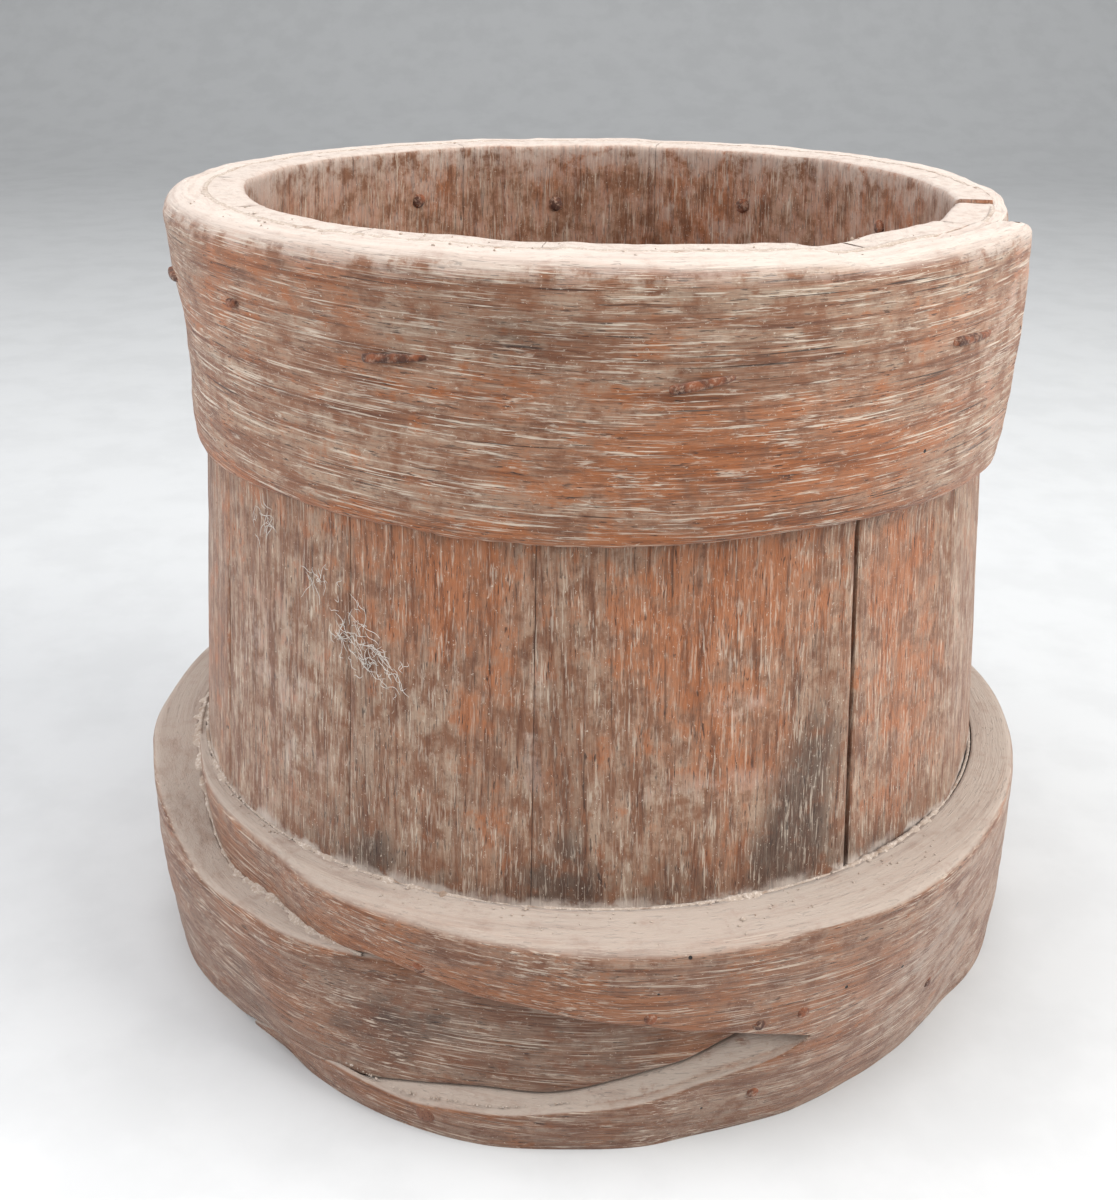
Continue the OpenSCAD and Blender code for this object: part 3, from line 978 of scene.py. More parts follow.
@dataclass
class RimHoop:
    """One broad riven band round the rim, wound once and lapped.

    The band starts as a thin tongue against the staves, thickens to the full size once it is
    clear of the lap, goes round the tub, climbs over its own tongue and ends in a blunt end.
    """

    shape: TubShape
    tongue_tip: float = 20.0
    blunt_end: float = 62.0
    tongue_thickness: float = 4.8
    skive: tuple[float, float] = (95.0, 118.0)
    fit: float = 0.06
    corner_top: float = 6.5
    corner_low: float = 2.2
    left_face: Keys = (
        (205, 146.4), (209, 146.6), (220, 147.2), (230, 146.8), (240, 147.4), (251, 148), (261, 149),
        (270, 150), (280, 151), (290, 151.5),
    )
    right_face: Keys = (
        (205, 148.6), (212, 150.8), (218, 151.9), (225, 152.6), (242, 153.6), (263, 154.1), (290, 154.3),
    )
    low_edge: Keys = (
        (-180, 206), (-90, 205.8), (-60, 205.5), (-47, 207.2), (-41, 207.7), (-28, 207), (-20, 206.9),
        (-19, 206.3), (-13, 206.4), (2, 206.7), (14, 207.6), (30, 208.5), (46, 207.8), (62, 207.3),
        (90, 206.5), (180, 206),
    )
    relief: Relief = field(default_factory=lambda: Relief(37))

    def tongue(self, turn: Array) -> Array:
        """Thickness of the tongue at a turn."""
        return 0.8 + (self.tongue_thickness - 0.8) * ease(self.tongue_tip, self.tongue_tip + 32, turn)

    def outer(self, turn: Array, z: Array) -> Array:
        """Outer radius at a turn that counts on past 360, and a height, without the rounded edges."""
        near_lap = ease(335, 395, turn)
        full = through(self.left_face, z) * (1 - near_lap) + through(self.right_face, z) * near_lap
        thin = self.shape.outer(z) + self.fit + self.tongue(turn)
        grown = ease(*self.skive, turn)
        face = thin * (1 - grown) + full * grown
        wave = 0.5 * self.relief.layers(turn * 2.6 / 55, z / 24)
        ridge = 0.17 * self.relief.layers(turn * 2.6 / 26, z / 3.3, 2)
        return face + (wave + ridge) * (0.3 + 0.7 * grown)

    def inner(self, turn: Array, z: Array) -> Array:
        """Inner radius: against the staves, and over the tongue where the band laps it."""
        climb = ease(361, 384, turn)
        return self.shape.outer(z) + self.fit + climb * (self.tongue(turn - 360) + self.fit)

    def section(self) -> Section:
        """Loops of the band from the tip of the tongue to the blunt end."""
        fine = spread(self.tongue_tip, 118, 1.0)[:-1]
        back = spread(118, 262, 1.25)[:-1]
        shown = spread(262, self.blunt_end + 360 - 1.0, 0.55)
        ends = self.blunt_end + 360 - np.array([0.7, 0.45, 0.25, 0.1, 0.0])
        turn = np.concatenate([fine, back, shown, ends])
        t = turn[:, None]
        low = through(self.low_edge, front(turn)) + 0.25 * self.relief.layers(turn / 2.3, turn * 0)
        top = self.shape.rim(turn)
        under_lap = 1 - ease(62, 66, turn)
        top = top - 0.3 * under_lap - self.shape.step(turn)
        low = low + 0.8 * under_lap
        share = spread(0.0, 1.0, 1 / 48, 0.05)[None, :]
        z = low[:, None] + (top - low)[:, None] * share
        blunt = 1.0 * np.clip(1 - (self.blunt_end + 360 - t) / 0.7, 0, 1) ** 2
        grown = ease(*self.skive, t)
        outer = self.outer(t, z) - blunt
        corner = self.corner_top - 3.0 * ease(395, self.blunt_end + 360, t)
        outer = outer - rounded(top[:, None] - z, corner) * (0.15 + 0.85 * grown)
        outer = outer - rounded(z - low[:, None], self.corner_low) * (0.3 + 0.7 * grown)
        inner = np.minimum(self.inner(t, z), outer - 0.4)
        s = Section.ring(turn, (outer, z), (inner, z), 14)
        worn_top = s.on(Side.TOP) * 0.35 * self.relief.layers(s.turn * 0.5, s.radius / 3.5)
        s.height = s.height + worn_top
        return s

    def build(self, finish: bpy.types.Material) -> None:
        """Builds the hoop and dresses it."""
        s = self.section()
        a, z = s.turn - 360.0, s.height
        s.along = np.radians(s.turn) * 150.0
        s.across = z + 2.5 * np.sin(np.radians(s.turn * 2.2))
        out = s.on(Side.OUTER)
        cloud = 0.5 + 0.5 * self.relief.layers(s.turn / 7, z / 9)
        edge = 1 - ease(207, 216, z)
        s.worn = out * (0.7 * edge + 0.3 * patch(a, z, 12, 235, 34, 22) + 0.2 * cloud)
        stain_and_shade = 0.5 * patch(a, z, -8, 268, 26, 14) * cloud + 0.35 * patch(a, z, 14, 254, 8, 8)
        s.stain_and_shade = out * np.clip(stain_and_shade, 0, 1)
        s.dust = np.clip(s.on(Side.TOP) * 0.95 + out * 0.75 * ease(279, 289.5, z)
                         + out * 0.45 * patch(a, z, 56, 255, 16, 60) * cloud, 0, 1)
        shell = Shell("oak_rim_hoop")
        shell.add_loops(s.table())
        hand_over(shell.build(), finish, ("rim_hoop",))


@dataclass
class FootHoop:
    """One broad riven band round the foot whose forked end grips its own pointed end.

    Going right from the root of the fork the band runs round the back and returns at the left,
    where it narrows to the middle tongue. Left of the root the fork's upper tongue lies over
    the middle one and then dives inside the band, and the lower tongue lies under it.
    """

    shape: TubShape
    height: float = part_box("foot_hoop")[1].z / MM
    root: float = 25.0
    root_height: float = 39.0
    middle_tip: float = 377.4
    upper_tip: float = -92.0
    lower_tip: float = -49.5
    lock: float = 0.4
    swell: float = 2.0
    play: float = 0.2
    middle_face: float = 164.4
    tip_height: float = 40.6
    corner: float = 1.6
    band_top: Keys = (
        (25, 177.2), (33, 177.8), (48, 174.2), (63, 170.4), (75, 169), (95, 169.5), (130, 170.5), (180, 171),
        (230, 171.5), (262, 171), (270, 171.2), (277, 172.6), (283, 173.4), (291, 174.5), (300, 172.5),
        (310, 171), (320, 171), (330, 168), (337, 165.5), (343, 164), (377.4, 164),
    )
    band_foot: Keys = (
        (25, 162.5), (29, 161.5), (35, 160.2), (48, 160.2), (57, 161), (64, 164.4), (77, 169), (100, 169),
        (180, 168.5), (250, 168.5), (285, 169.4), (299, 165.8), (307, 162.5), (313, 161.5), (320, 163),
        (330, 164), (343, 164), (377.4, 164),
    )
    middle_top: Keys = (
        (283, 86), (287, 83), (292, 76.5), (296, 69), (300, 63), (303, 60.5), (306, 58.8), (311, 60.5),
        (317, 62.5), (322, 63), (332, 64.4), (336, 64.9),
    )
    middle_low: Keys = (
        (300, 0), (308, 0.3), (318, 8.5), (324, 8.9), (328, 10), (334, 13), (340, 16.3), (347, 19.4),
        (355, 20.5), (359, 23), (365, 28.2), (371, 33), (375, 38), (377.4, 40.4),
    )
    upper_top: Keys = (
        (-92, 154.8), (-80, 155.8), (-72, 156.8), (-60, 160.4), (-48, 160.9), (-43, 161.7), (-34.5, 166.4),
        (-25, 169.6), (-5, 174.9), (0, 176.6), (8, 177.5), (21, 177), (25, 177.2),
    )
    upper_low: Keys = (
        (-92, 58), (-40, 58), (-34, 58.5), (-30, 61.5), (-27, 64.6), (-24.5, 65.3), (-18, 63.8), (-12, 61.3),
        (-7, 60.6), (-1, 58.3), (5, 56.4), (10, 52.6), (15, 48.8), (18.6, 45.5), (25, 39),
    )
    lower_foot: Keys = (
        (-49.5, 162), (-44, 161), (-36, 164), (-31, 165.8), (-24, 167.4), (-13, 168.8), (-4, 167.7),
        (7, 165.9), (14.5, 163.5), (22.5, 163), (25, 162.5),
    )
    lower_top: Keys = (
        (-49.5, 1.2), (-40, 8), (-30, 13.8), (-26, 13.2), (-22, 12.1), (-16, 14.3), (-10, 15.4), (-3, 18.4),
        (5, 20.9), (9, 23.7), (15, 28.2), (19, 31), (23.4, 35.3), (25, 39),
    )
    relief: Relief = field(default_factory=lambda: Relief(53))

    def texture(self, turn: Array, z: Array) -> Array:
        """Slow waves and grain ridges of the riven face."""
        wave = 0.5 * self.relief.layers(turn * 2.9 / 50, z / 22)
        return wave + 0.16 * self.relief.layers(turn * 2.9 / 28, z / 3.2, 2)

    def band_face(self, turn: Array, z: Array) -> Array:
        """Outer radius of the band and the middle tongue: straight from foot to top, plus a swell."""
        t = z / self.height
        low, high = through(self.band_foot, turn), through(self.band_top, turn)
        swell = self.swell * (1 - ease(318, 343, turn))
        return low + (high - low) * t + swell * 4 * t * (1 - t)

    def upper_face(self, turn: Array, z: Array) -> Array:
        """Outer radius of the upper tongue, leaning out, and the band's own face at the root."""
        lean = through(self.upper_top, turn) - 0.10 * (self.height - z)
        lean = np.maximum(lean, self.shape.outer(z) + 0.9)
        at_root = ease(8, self.root, turn)
        return lean * (1 - at_root) + self.band_face(turn, z) * at_root

    def lower_face(self, turn: Array, z: Array) -> Array:
        """Outer radius of the lower tongue, and the band's own face at the root."""
        lean = through(self.lower_foot, turn) + 0.13 * z
        at_root = ease(5, self.root, turn)
        return lean * (1 - at_root) + self.band_face(turn, z) * at_root

    def levels(self, count: int) -> Array:
        """Shares of the height from 0 to 1, closer at both ends."""
        return spread(0.0, 1.0, 1.0 / count, 0.06)

    def band(self) -> Section:
        """Loops of the band and the middle tongue, from the root of the fork to the tip."""
        turn = np.concatenate([spread(self.root, 95, 0.75)[:-1], spread(95, 258, 1.6)[:-1],
                               spread(258, self.middle_tip - 1.2, 0.6),
                               self.middle_tip - np.array([0.9, 0.6, 0.35, 0.15, 0.0])])
        t = turn[:, None]
        low = through(self.middle_low, turn) * ease(299, 302, turn)
        over_it = through(self.upper_low, turn - 360) - self.lock
        top = np.where(turn < self.middle_top[-1][0], through(self.middle_top, turn), over_it)
        under = self.levels(20) * self.root_height / self.height
        over = self.root_height / self.height + self.levels(24) * (1 - self.root_height / self.height)
        share = np.concatenate([under, over[1:]])[None, :]
        z = low[:, None] + (top - low)[:, None] * share
        outer = self.band_face(t, z) + self.texture(t, z)
        outer = outer - rounded(top[:, None] - z, 3.0) * ease(25, 31, t) * 0.9
        lifted = ease(306, 320, t)
        outer = outer - rounded(z - low[:, None], self.corner) * lifted
        outer = outer - 2.5 * np.clip(1 - (self.middle_tip - t) / 1.2, 0, 1) ** 2
        inside = ease(58.2, 58.9, z) * ease(262, 269, t) * (1 - ease(329, 331, t))
        clear = self.upper_face(t - 360, z) + 0.5
        inner = self.shape.outer(z) + self.play
        inner = inner * (1 - inside) + np.maximum(clear, inner) * inside
        inner = np.minimum(inner, outer - 1.5)
        return Section.ring(turn, (outer, z), (inner, z), 12)

    def upper(self) -> Section:
        """Loops of the upper tongue, from the root of the fork to its thin end at the left."""
        turn = np.concatenate([spread(-self.root, 60, 0.7)[:-1], spread(60, -self.upper_tip, 1.0)]) * -1
        t = turn[:, None]
        low = through(self.upper_low, turn)
        z = low[:, None] + (self.height - low)[:, None] * self.levels(24)[None, :]
        outer = self.upper_face(t, z) + self.texture(t, z) * ease(-75, -40, t)
        away = 1 - ease(19, self.root, t)
        outer = outer - rounded(self.height - z, 4.5) * away * ease(-80, -45, t)
        outer = outer - rounded(z - low[:, None], self.corner) * away * ease(-40, -25, t)
        inner = np.minimum(self.shape.outer(z) + self.play, outer - 0.4)
        return Section.ring(turn, (outer, z), (inner, z), 12)

    def lower(self) -> Section:
        """Loops of the lower tongue, whose top slopes up and in to the middle tongue."""
        turn = spread(-self.root, -self.lower_tip, 0.7) * -1
        t = turn[:, None]
        top = through(self.lower_top, turn)
        share = self.levels(20)[None, :]
        z = top[:, None] * share
        outer = self.lower_face(t, z) + self.texture(t, z)
        away = 1 - ease(20, self.root, t)
        outer = outer - rounded(top[:, None] - z, 1.8) * away * ease(-49, -40, t)
        tip = self.middle_tip - 360
        past_tip = self.tip_height + (self.root_height - self.tip_height) * ease(tip, self.root, turn)
        meet = np.where(turn > tip, past_tip, through(self.middle_low, turn + 360) - self.lock)
        inner_z = meet[:, None] * share
        inner = self.shape.outer(inner_z) + self.play

        def slope(r: Array, z_line: Array) -> Array:
            """Top heights: up from the outer edge to the middle tongue's face, then level."""
            edge = outer[:, -1:]
            part = np.clip((edge - r) / np.maximum(edge - self.middle_face, 1.0), 0, 1)
            return top[:, None] + (meet - top)[:, None] * part

        return Section.ring(turn, (outer, z), (inner, inner_z), 12, slope)

    def paint(self, s: Section) -> Array:
        """Sets the grain and the marks, with a painted shadow under the upper tongue, and returns the table
        of points.
        """
        a, z = front(s.turn), s.height
        s.along = np.radians(s.turn) * 168.0 + 0 * z
        s.across = z + 3.0 * np.sin(np.radians(s.turn * 1.7))
        out = s.on(Side.OUTER)
        cloud = 0.5 + 0.5 * self.relief.layers(s.turn / 6, z / 8)
        # painted shadow: the middle tongue is darkened just under the upper tongue's lower edge, fading over
        # about 7 mm downwards
        below = through(self.upper_low, a) - z
        corner = 0.75 * ease(-0.6, 0.2, below) * np.exp(-np.maximum(below, 0.0) / 7.0)
        corner = corner * patch(a, z, -10, 50, 24, 40)
        worn_edge = ease(-2.5, -0.5, -below) * (1 - ease(1.0, 4.5, -below)) * patch(a, z, -10, 60, 30, 40)
        s.worn = out * (0.12 + 0.2 * cloud + 0.4 * patch(a, z, -14, 66, 22, 7) + 0.6 * worn_edge)
        dirt = 0.55 * patch(a, z, -8, 35, 30, 20) + 0.45 * patch(a, z, -60, 40, 40, 50)
        # darker towards the bottom, low on the front
        low = 0.45 * (1 - ease(6, 22, z)) * (0.4 + cloud) * patch(a, z, -5, 0, 45, 60)
        s.stain_and_shade = out * np.clip(dirt * (0.35 + cloud) + corner + low, 0, 1)
        s.dust = np.clip(s.on(Side.TOP) * 0.9 + out * 0.7 * patch(a, z, 62, 50, 40, 60) * cloud, 0, 1)
        return s.table()

    def build(self, finish: bpy.types.Material) -> None:
        """Builds the hoop from its three runs, which share their points at the root of the fork."""
        shell = Shell("oak_foot_hoop")
        shell.add_loops(self.paint(self.band()), close_start=False)
        shell.add_loops(self.paint(self.upper()), close_start=False)
        shell.add_loops(self.paint(self.lower()), close_start=False)
        hand_over(shell.build(weld=0.02), finish, ("foot_hoop",))


# ---------------------------------------------------------------- fastenings

@dataclass
class Fastenings:
    """Wrought nails: clenched ones through the rim hoop, headed ones in the foot, and the peg.

    A clenched nail is given by turn and height where it comes out and where its point ends, and
    a head by its own radius and how far it stands out.
    """

    rim_hoop: RimHoop
    foot_hoop: FootHoop
    staves: Staves
    shape: TubShape
    shank: float = 2.7
    inner_head: tuple[float, float] = (3.0, 1.3)
    foot_head: tuple[float, float] = (2.1, 0.55)
    peg_end: tuple[float, float] = (3.5, 0.7)
    clenches: tuple[tuple[float, float, float, float], ...] = (
        (-27.2, 258.5, -19.2, 260.8), (7.1, 254.9, 13.6, 257.9), (42.5, 260.5, 50.4, 259.8),
        (-49.2, 266.4, -47.4, 266.9), (69, 262, 74, 262.5), (91, 264, 97, 263.5), (115, 266.5, 121, 267),
        (148.5, 266.5, 155, 266), (187, 264, 194, 264.5), (216, 268, 222, 267.4), (252, 262, 259, 262.8),
        (284, 264, 290, 263.7),
    )
    foot_nails: tuple[tuple[float, float], ...] = (
        (19, 16.6), (23.1, 51.7), (17.9, 51), (5.8, 60.2), (-19.2, 68), (46.2, 30.1), (84, 44), (120, 40),
        (150, 48), (196, 42), (222, 50), (256, 36),
    )
    peg: tuple[float, float] = (-19.0, 8.5)
    relief: Relief = field(default_factory=lambda: Relief(71))

    def on_rim_hoop(self, turn: Array, z: Array) -> Array:
        """Radius of the outer face of the rim hoop, whichever layer is outside there."""
        turn = np.asarray(turn, float) % 360.0
        lapped = turn < self.rim_hoop.blunt_end
        return self.rim_hoop.outer(np.where(lapped, turn + 360, turn), z)

    def on_foot_hoop(self, turn: float, z: float) -> float:
        """Radius of the outer face of the foot hoop at a turn and a height."""
        hoop, t = self.foot_hoop, np.array([[float(turn)]])
        level = np.array([[float(z)]])
        if hoop.root < turn % 360 < 280:
            return float((hoop.band_face(t % 360, level) + hoop.texture(t % 360, level))[0, 0])
        face = hoop.upper_face if z > through(hoop.upper_low, t)[0, 0] else hoop.lower_face
        return float((face(t, level) + hoop.texture(t, level))[0, 0])

    def clench(self, shell: Shell, a0: float, z0: float, a1: float, z1: float) -> None:
        """Adds a shank that comes out of the hoop, is bent over and lies half sunk to its point.

        A four-sided loop with worn corners is carried along the bend; it narrows to the point.
        """
        t = np.concatenate([np.array([-0.16, -0.08, -0.03]), np.linspace(0.0, 1.0, 22)])
        a = a0 + (a1 - a0) * np.clip(t, 0, 1)
        z = z0 + (z1 - z0) * np.clip(t, 0, 1)
        rise = np.where(t < 0, -3.0 + (t + 0.16) * 24, 0.45 * ease(-0.05, 0.15, t) - 1.2 * ease(0.8, 1.05, t))
        radius = self.on_rim_hoop(a, z) + rise - 0.1
        size = self.shank / 2 * (1 - 0.4 * ease(0.45, 1.0, t)) * (1 + 0.05 * self.relief.at(t * 9, t + a0))
        shell.add_rod(spin(a, radius, z) / MM, size)

    def dome(self, shell: Shell, turn: float, z: float, radius: float, size: float, rise: float,
             inwards: bool = False) -> None:
        """Adds a hammered head: a disc whose face is rise * (1 - s^2.5) high and dented by hand.

        Args:
            shell: where it goes.
            turn: turn of its middle.
            z: height of its middle.
            radius: radius of the face that it sits on.
            size: its own radius.
            rise: how far it stands out.
            inwards: looks towards the middle of the tub.
        """
        s = np.concatenate([[0.0, 0.2, 0.4, 0.6, 0.78, 0.92, 1.0], [0.96, 0.5, 0.0]])[:, None]
        out = rise * np.concatenate([1 - s[:7, 0] ** 2.5 * 0.75, [-0.9, -0.9, -0.9]])[:, None]
        u = np.linspace(0, 2 * np.pi, 25)[:-1][None, :]
        ragged = 1 + 0.09 * self.relief.layers(np.cos(u) * 2 + turn, np.sin(u) * 2 + z)
        dented = out + 0.16 * rise * self.relief.layers(s * np.cos(u) * 2 + z, s * np.sin(u) * 2) * (out > 0)
        sideways, up = size * s * ragged * np.cos(u), size * s * ragged * np.sin(u)
        way = -1.0 if inwards else 1.0
        place = spin(turn + np.degrees(sideways / radius), radius + way * dented, z + up)
        shell.add_plain(place)

    def build(self, iron: bpy.types.Material, wood: bpy.types.Material) -> None:
        """Builds the nails and the peg and dresses them."""
        clenched = Shell("iron_clenched_nails")
        for a0, z0, a1, z1 in self.clenches:
            self.clench(clenched, a0, z0, a1, z1)
            self.dome(clenched, a0, z0, self.staves.inside_face(a0, z0) + 0.1, *self.inner_head, inwards=True)
        hand_over(clenched.build(), iron, ("rim_hoop_nails",))
        headed = Shell("iron_foot_nails")
        for turn, z in self.foot_nails:
            self.dome(headed, turn, z, self.on_foot_hoop(turn, z), *self.foot_head)
        hand_over(headed.build(), iron, ("foot_hoop_nails",))
        peg = Shell("split_wood_peg")
        self.dome(peg, *self.peg, self.on_foot_hoop(*self.peg) - 0.2, *self.peg_end)
        hand_over(peg.build(), wood, ("foot_hoop_peg",))


# ---------------------------------------------------------------- loose dust

@dataclass
class LooseDust:
    """What has settled on the tub: lines of dirt in its corners, crumbs and wisps of cobweb.

    A web is given by turn, height, spread in degrees, spread in height and number of strands.
    """

    foot_hoop: FootHoop
    shape: TubShape
    ledge: float = 86.0
    crumbs: int = 300
    strand: float = 0.07
    sunk: float = 0.9
    seam_inset: float = 0.5
    webs: tuple[tuple[float, float, float, float, int], ...] = (
        (-32, 169, 3.5, 9, 46), (-28.5, 162, 3, 6, 34), (-47, 198, 3.5, 9, 16), (-37, 184, 3, 9, 16),
        (-25, 157, 2.0, 5, 14),
    )
    relief: Relief = field(default_factory=lambda: Relief(91))

    def bead(self, shell: Shell, turn: Array, foot: Array, height: Array, wide: Array, tall: Array) -> None:
        """Adds a low ragged wedge of dirt along a corner, its foot sunk in both faces.

        Args:
            shell: where it goes.
            turn: turns along the corner.
            foot: radius of the corner at each turn.
            height: height of the corner at each turn.
            wide: how far the dirt reaches outwards at each turn.
            tall: how far it climbs at each turn.
        """
        deep = np.full_like(wide, -self.sunk)
        out = np.stack([deep, wide, wide, 0.4 * wide, 0 * wide, deep], axis=1)
        up = np.stack([deep, deep, 0 * tall - 0.2, 0.45 * tall, tall, tall], axis=1)
        u, v = 60 * np.sin(np.radians(turn)), 60 * np.cos(np.radians(turn))
        rough = 0.12 * self.relief.layers(u[:, None] * 3, v[:, None] * 3 + out, 2)
        place = spin(turn[:, None], foot[:, None] + out + rough, height[:, None] + up + rough)
        shell.add_plain(place)

    def corner_lines(self) -> Shell:
        """Dirt in the corners: ledge and staves, the two tongues, and rim hoop and staves on top."""
        shell = Shell("dust_corner_lines")
        turn = np.linspace(-180.0, 180.0, 1601)
        u, v = 60 * np.sin(np.radians(turn)), 60 * np.cos(np.radians(turn))
        lump = np.clip(0.5 + 0.55 * self.relief.layers(u + 80, v + 80, 2), 0, 1)
        heap = 0.25 + 0.75 * ease(-0.3, 0.35, self.relief.layers(u / 9 + 7, v / 9, 2))
        bare = (1 - 0.95 * ease(50, 64, turn) * (1 - ease(94, 108, turn))) * heap
        foot = self.shape.outer(np.full_like(turn, self.ledge)) - 0.3
        wide, tall = (0.3 + 2.4 * lump) * bare, (0.1 + 1.0 * lump) * bare
        self.bead(shell, turn, foot, 0 * turn + self.ledge, wide, tall)
        level = self.shape.rim(turn) - self.shape.step(turn)
        open_step = ease(46, 49, turn) * (1 - ease(61, 63, turn))
        shut = 1 - open_step - ease(77, 80, turn) * (1 - ease(88, 92, turn))
        seam = self.shape.outer(level) - self.seam_inset
        self.bead(shell, turn, seam, level - self.sunk * (1 - shut), 1.0 + 0.5 * lump, 0.12 + 0.15 * lump)
        hoop = self.foot_hoop
        turn = np.linspace(-91.0, -27.0, 420)
        level = through(hoop.middle_top, turn + 360)
        wall = hoop.upper_face(turn[:, None], level[:, None])[:, 0]
        lump = np.clip(0.5 + 0.55 * self.relief.layers(turn / 1.3, turn * 0 + 4, 2), 0, 1)
        fade = ease(-91, -85, turn) * (1 - ease(-36, -29, turn))
        self.bead(shell, turn, wall - 0.2, level, (0.8 + 2.6 * lump) * fade, (0.2 + 1.3 * lump) * fade)
        return shell

    def scatter(self) -> Shell:
        """Crumbs: small lumps whose radius is uneven over the ball, thrown on ledges and rim."""
        draw = np.random.default_rng(404)
        hoop = self.foot_hoop
        shell = Shell("dust_crumbs")
        polar, round_it = np.linspace(0, np.pi, 5)[:, None], np.linspace(0, 2 * np.pi, 8)[None, :-1]
        ball = np.stack([np.sin(polar) * np.cos(round_it), np.sin(polar) * np.sin(round_it),
                         np.cos(polar) + 0 * round_it], axis=-1)
        lump = np.stack([self.relief.at(ball[..., 0] * 2 + k, ball[..., 1] * 2 + ball[..., 2])
                         for k in range(9)])
        for number in range(self.crumbs):
            turn = draw.uniform(-72, 48)
            size = draw.uniform(0.18, 0.5) * (1.7 if draw.random() < 0.08 else 1.0)
            where = draw.random()
            edge = hoop.upper_top if turn < hoop.root else hoop.band_top
            top = float(through(edge, np.array(turn))) - 5.0
            if where < 0.62:
                near = float(self.shape.outer(np.array(self.ledge)))
                radius, z = near + (top - near) * draw.random() ** 2.6, self.ledge
            elif where < 0.8:
                radius, z = draw.uniform(126, 146), float(self.shape.rim(np.array([turn]))[0])
            else:
                turn = draw.uniform(-34, 12)
                foot = float(through(hoop.lower_foot, np.array(turn)))
                z = float(through(hoop.lower_top, np.array(turn))) + 1.2
                radius = foot - 0.6
            middle = spin(np.array(turn), np.array(radius), np.array(z + 0.35 * size)) / MM
            stretch = size * draw.uniform(0.6, 1.3, 3) * np.array([1.0, 1.0, 0.75])
            uneven = 1 + 0.3 * lump[number % len(lump)][..., None]
            place = (middle + ball * uneven * stretch) * MM
            shell.add_plain(place)
        return shell

    def cobweb(self) -> Shell:
        """Wisps of cobweb: thin strands that wander over the staves a few tenths above the wood."""
        draw = np.random.default_rng(505)
        shell = Shell("cobweb_wisps")
        t = np.linspace(-1.0, 1.0, 15)
        for turn, height, wide, tall, count in self.webs:
            for _ in range(count):
                heading, reach = draw.normal() * 0.7 - 0.8, draw.uniform(0.8, 4.5)
                bow, curl = draw.uniform(-1.0, 1.0), draw.uniform(0, 6)
                ahead, aside = reach * t, bow * (1 - t**2) + 0.5 * np.sin(3 * t + curl)
                across = ahead * np.cos(heading) - aside * np.sin(heading)
                z = height + tall * draw.normal() * 0.5 + ahead * np.sin(heading) + aside * np.cos(heading)
                a = turn + wide * draw.normal() * 0.5 + np.degrees(across / 150.0)
                lift = 0.25 + 0.45 * draw.random() * (1 - t**2)
                path = spin(a, self.shape.outer(z) + lift, z) / MM
                shell.add_rod(path, self.strand * (1.1 - 0.6 * t**2))
        return shell

    def build(self, dust: bpy.types.Material, web: bpy.types.Material) -> None:
        """Builds the dust and the cobweb and dresses them."""
        for shell in (self.corner_lines(), self.scatter()):
            hand_over(shell.build(), dust, ())
        hand_over(self.cobweb().build(), web, ())


# ---------------------------------------------------------------- studio

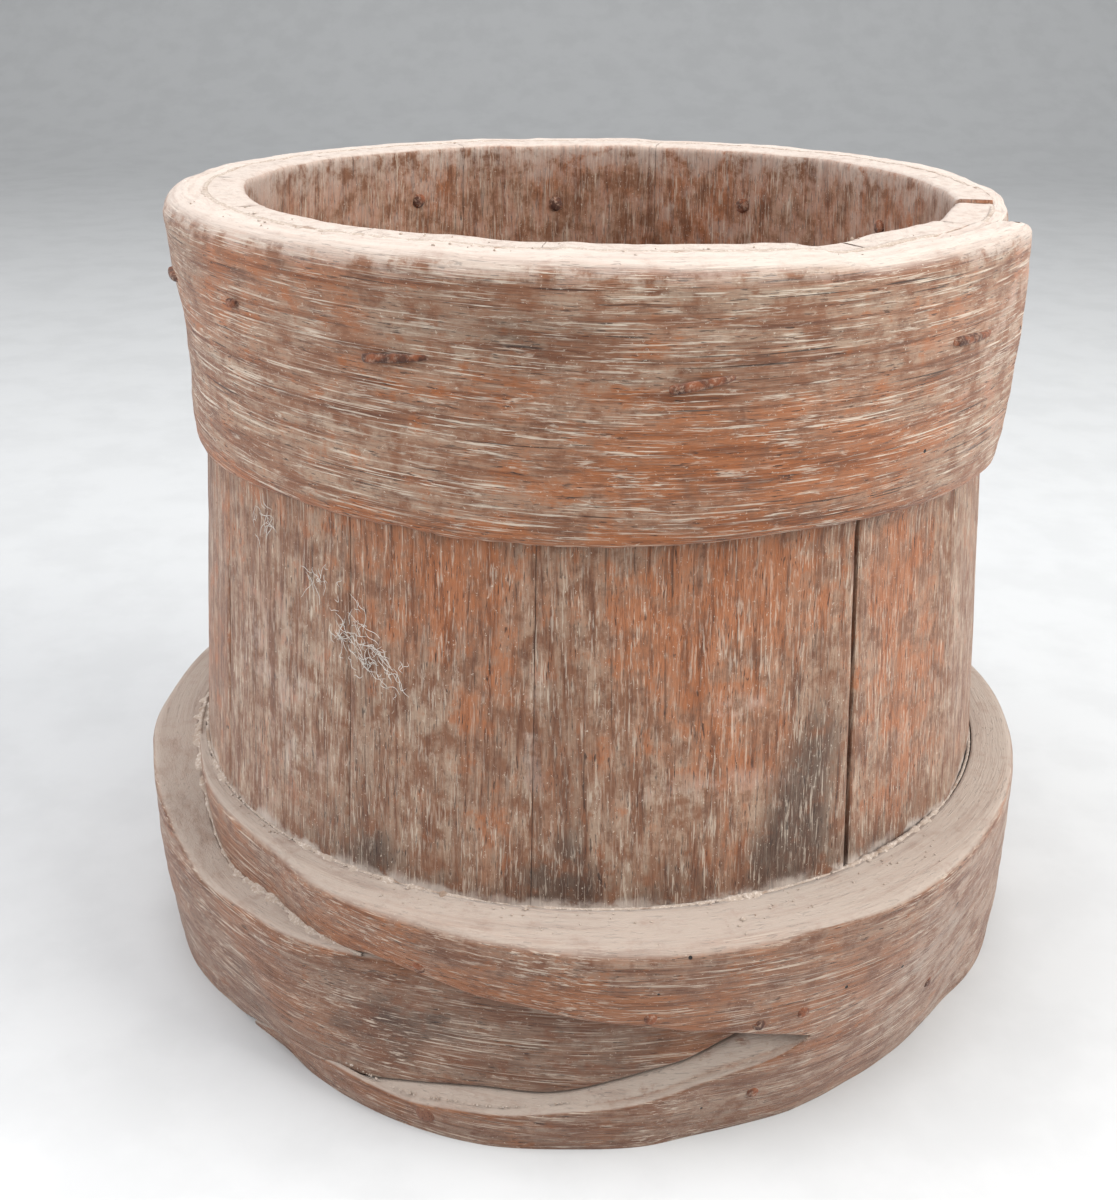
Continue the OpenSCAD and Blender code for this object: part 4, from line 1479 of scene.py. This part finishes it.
@dataclass
class Studio:
    """Pale floor with a rising back, soft lights and the camera."""

    camera_place: tuple[float, float, float] = (-0.0123, -0.546, 0.363)
    pitch: float = 66.61
    roll: float = 0.56
    lens: float = 44.45

    def place_camera(self) -> None:
        """Makes the camera and hands it to the scene."""
        data = bpy.data.cameras.new("camera")
        data.lens, data.sensor_width = self.lens, 36.0
        data.clip_start, data.clip_end = 0.01, 50.0
        camera = bpy.data.objects.new("camera", data)
        turned = Matrix.Rotation(math.radians(self.pitch), 4, "X")
        turned = turned @ Matrix.Rotation(math.radians(self.roll), 4, "Z")
        camera.matrix_world = Matrix.Translation(self.camera_place) @ turned
        bpy.context.scene.collection.objects.link(camera)
        bpy.context.scene.camera = camera

    def lay_floor(self, finish: bpy.types.Material) -> None:
        """Lays the floor: flat, then rising in a quarter circle far behind the tub."""
        radius, flat, rise = 1.0, 2.2, 2.5
        bend = np.linspace(0, np.pi / 2, 24)
        y = np.concatenate([np.linspace(-3.0, flat, 12), flat + radius * np.sin(bend), [flat + radius]])
        z = np.concatenate([np.zeros(12), radius * (1 - np.cos(bend)), [rise]])
        x = np.linspace(-4.0, 4.0, 9)
        place = np.stack(np.broadcast_arrays(x[None, :], y[:, None], z[:, None]), axis=-1)
        shell = Shell("floor")
        shell.add_plain(place, around=False)
        floor = shell.build()
        floor.data.materials.append(finish)

    def light(self, name: str, place: tuple[float, float, float], size: float, power: float,
              shade: str) -> None:
        """Hangs a square soft light that looks at the tub.

        Args:
            name: its name.
            place: where it hangs, in metres.
            size: its side in metres.
            power: its power in watts.
            shade: its hex colour.
        """
        data = bpy.data.lights.new(name, "AREA")
        data.shape, data.size, data.energy = "SQUARE", size, power
        data.color = linear(shade)[:3]
        lamp = bpy.data.objects.new(name, data)
        towards = Vector((0.0, 0.0, 0.15)) - Vector(place)
        lamp.rotation_euler = towards.to_track_quat("-Z", "Y").to_euler()
        lamp.location = place
        bpy.context.scene.collection.objects.link(lamp)

    def build(self) -> None:
        """Makes the lights and the room's own glow."""
        self.lay_floor(PaleFloor().mix())
        self.light("window", (1.45, -0.5, 1.2), 1.2, 39.0, "#fffefa")
        self.light("sky", (-0.1, -0.1, 1.8), 1.2, 25.0, "#fcfdff")
        self.light("fill", (-1.5, -0.55, 1.0), 1.3, 20.0, "#ffffff")
        world = bpy.data.worlds.new("room")
        world.use_nodes = True
        glow = world.node_tree.nodes["Background"]
        glow.inputs["Color"].default_value = linear("#e6e8ea")
        glow.inputs["Strength"].default_value = 0.55
        bpy.context.scene.world = world
        bpy.context.scene.view_settings.view_transform = "Standard"


def main() -> None:
    """Builds the camera, the tub and the studio in order."""
    logging.basicConfig(level=logging.INFO, format="%(name)s: %(message)s")
    studio = Studio()
    studio.place_camera()
    shape = TubShape()
    stave_oak = WeatheredOak(
        "shaved stave oak, weathered", brown="#80573f", orange="#a1613a", pale_amount=0.45,
        filled_line=(34.0, 0.8, 0.8), grime_amount=0.75, crack_amount=0.5).mix()
    rim_oak = WeatheredOak("riven rim hoop oak, weathered").mix()
    foot_oak = WeatheredOak(
        "riven foot hoop oak, weathered", brown="#7a523c", orange="#935a35", grime="#a38e7d",
        dust="#a99b90", pale="#c8b7a6", pale_amount=0.75, crack_amount=0.5).mix()
    head_oak = WeatheredOak("sawn head oak, stained", settled=0.35, pale_amount=0.3).mix()
    peg_wood = PeggedWood().mix()
    staves = Staves(shape)
    staves.build(stave_oak)
    HeadBoards(shape).build(head_oak)
    rim_hoop, foot_hoop = RimHoop(shape), FootHoop(shape)
    rim_hoop.build(rim_oak)
    foot_hoop.build(foot_oak)
    Fastenings(rim_hoop, foot_hoop, staves, shape).build(RustyIron().mix(), peg_wood)
    web = SettledDust("cobweb", ground="#d8d3cc", light="#ece8e2", crumb="#c4b6a8")
    LooseDust(foot_hoop, shape).build(SettledDust().mix(), web.mix())
    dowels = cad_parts["head_dowels"]
    dowels.data.materials.clear()
    dowels.data.materials.append(peg_wood)
    studio.build()


if __name__ == "__main__":
    main()
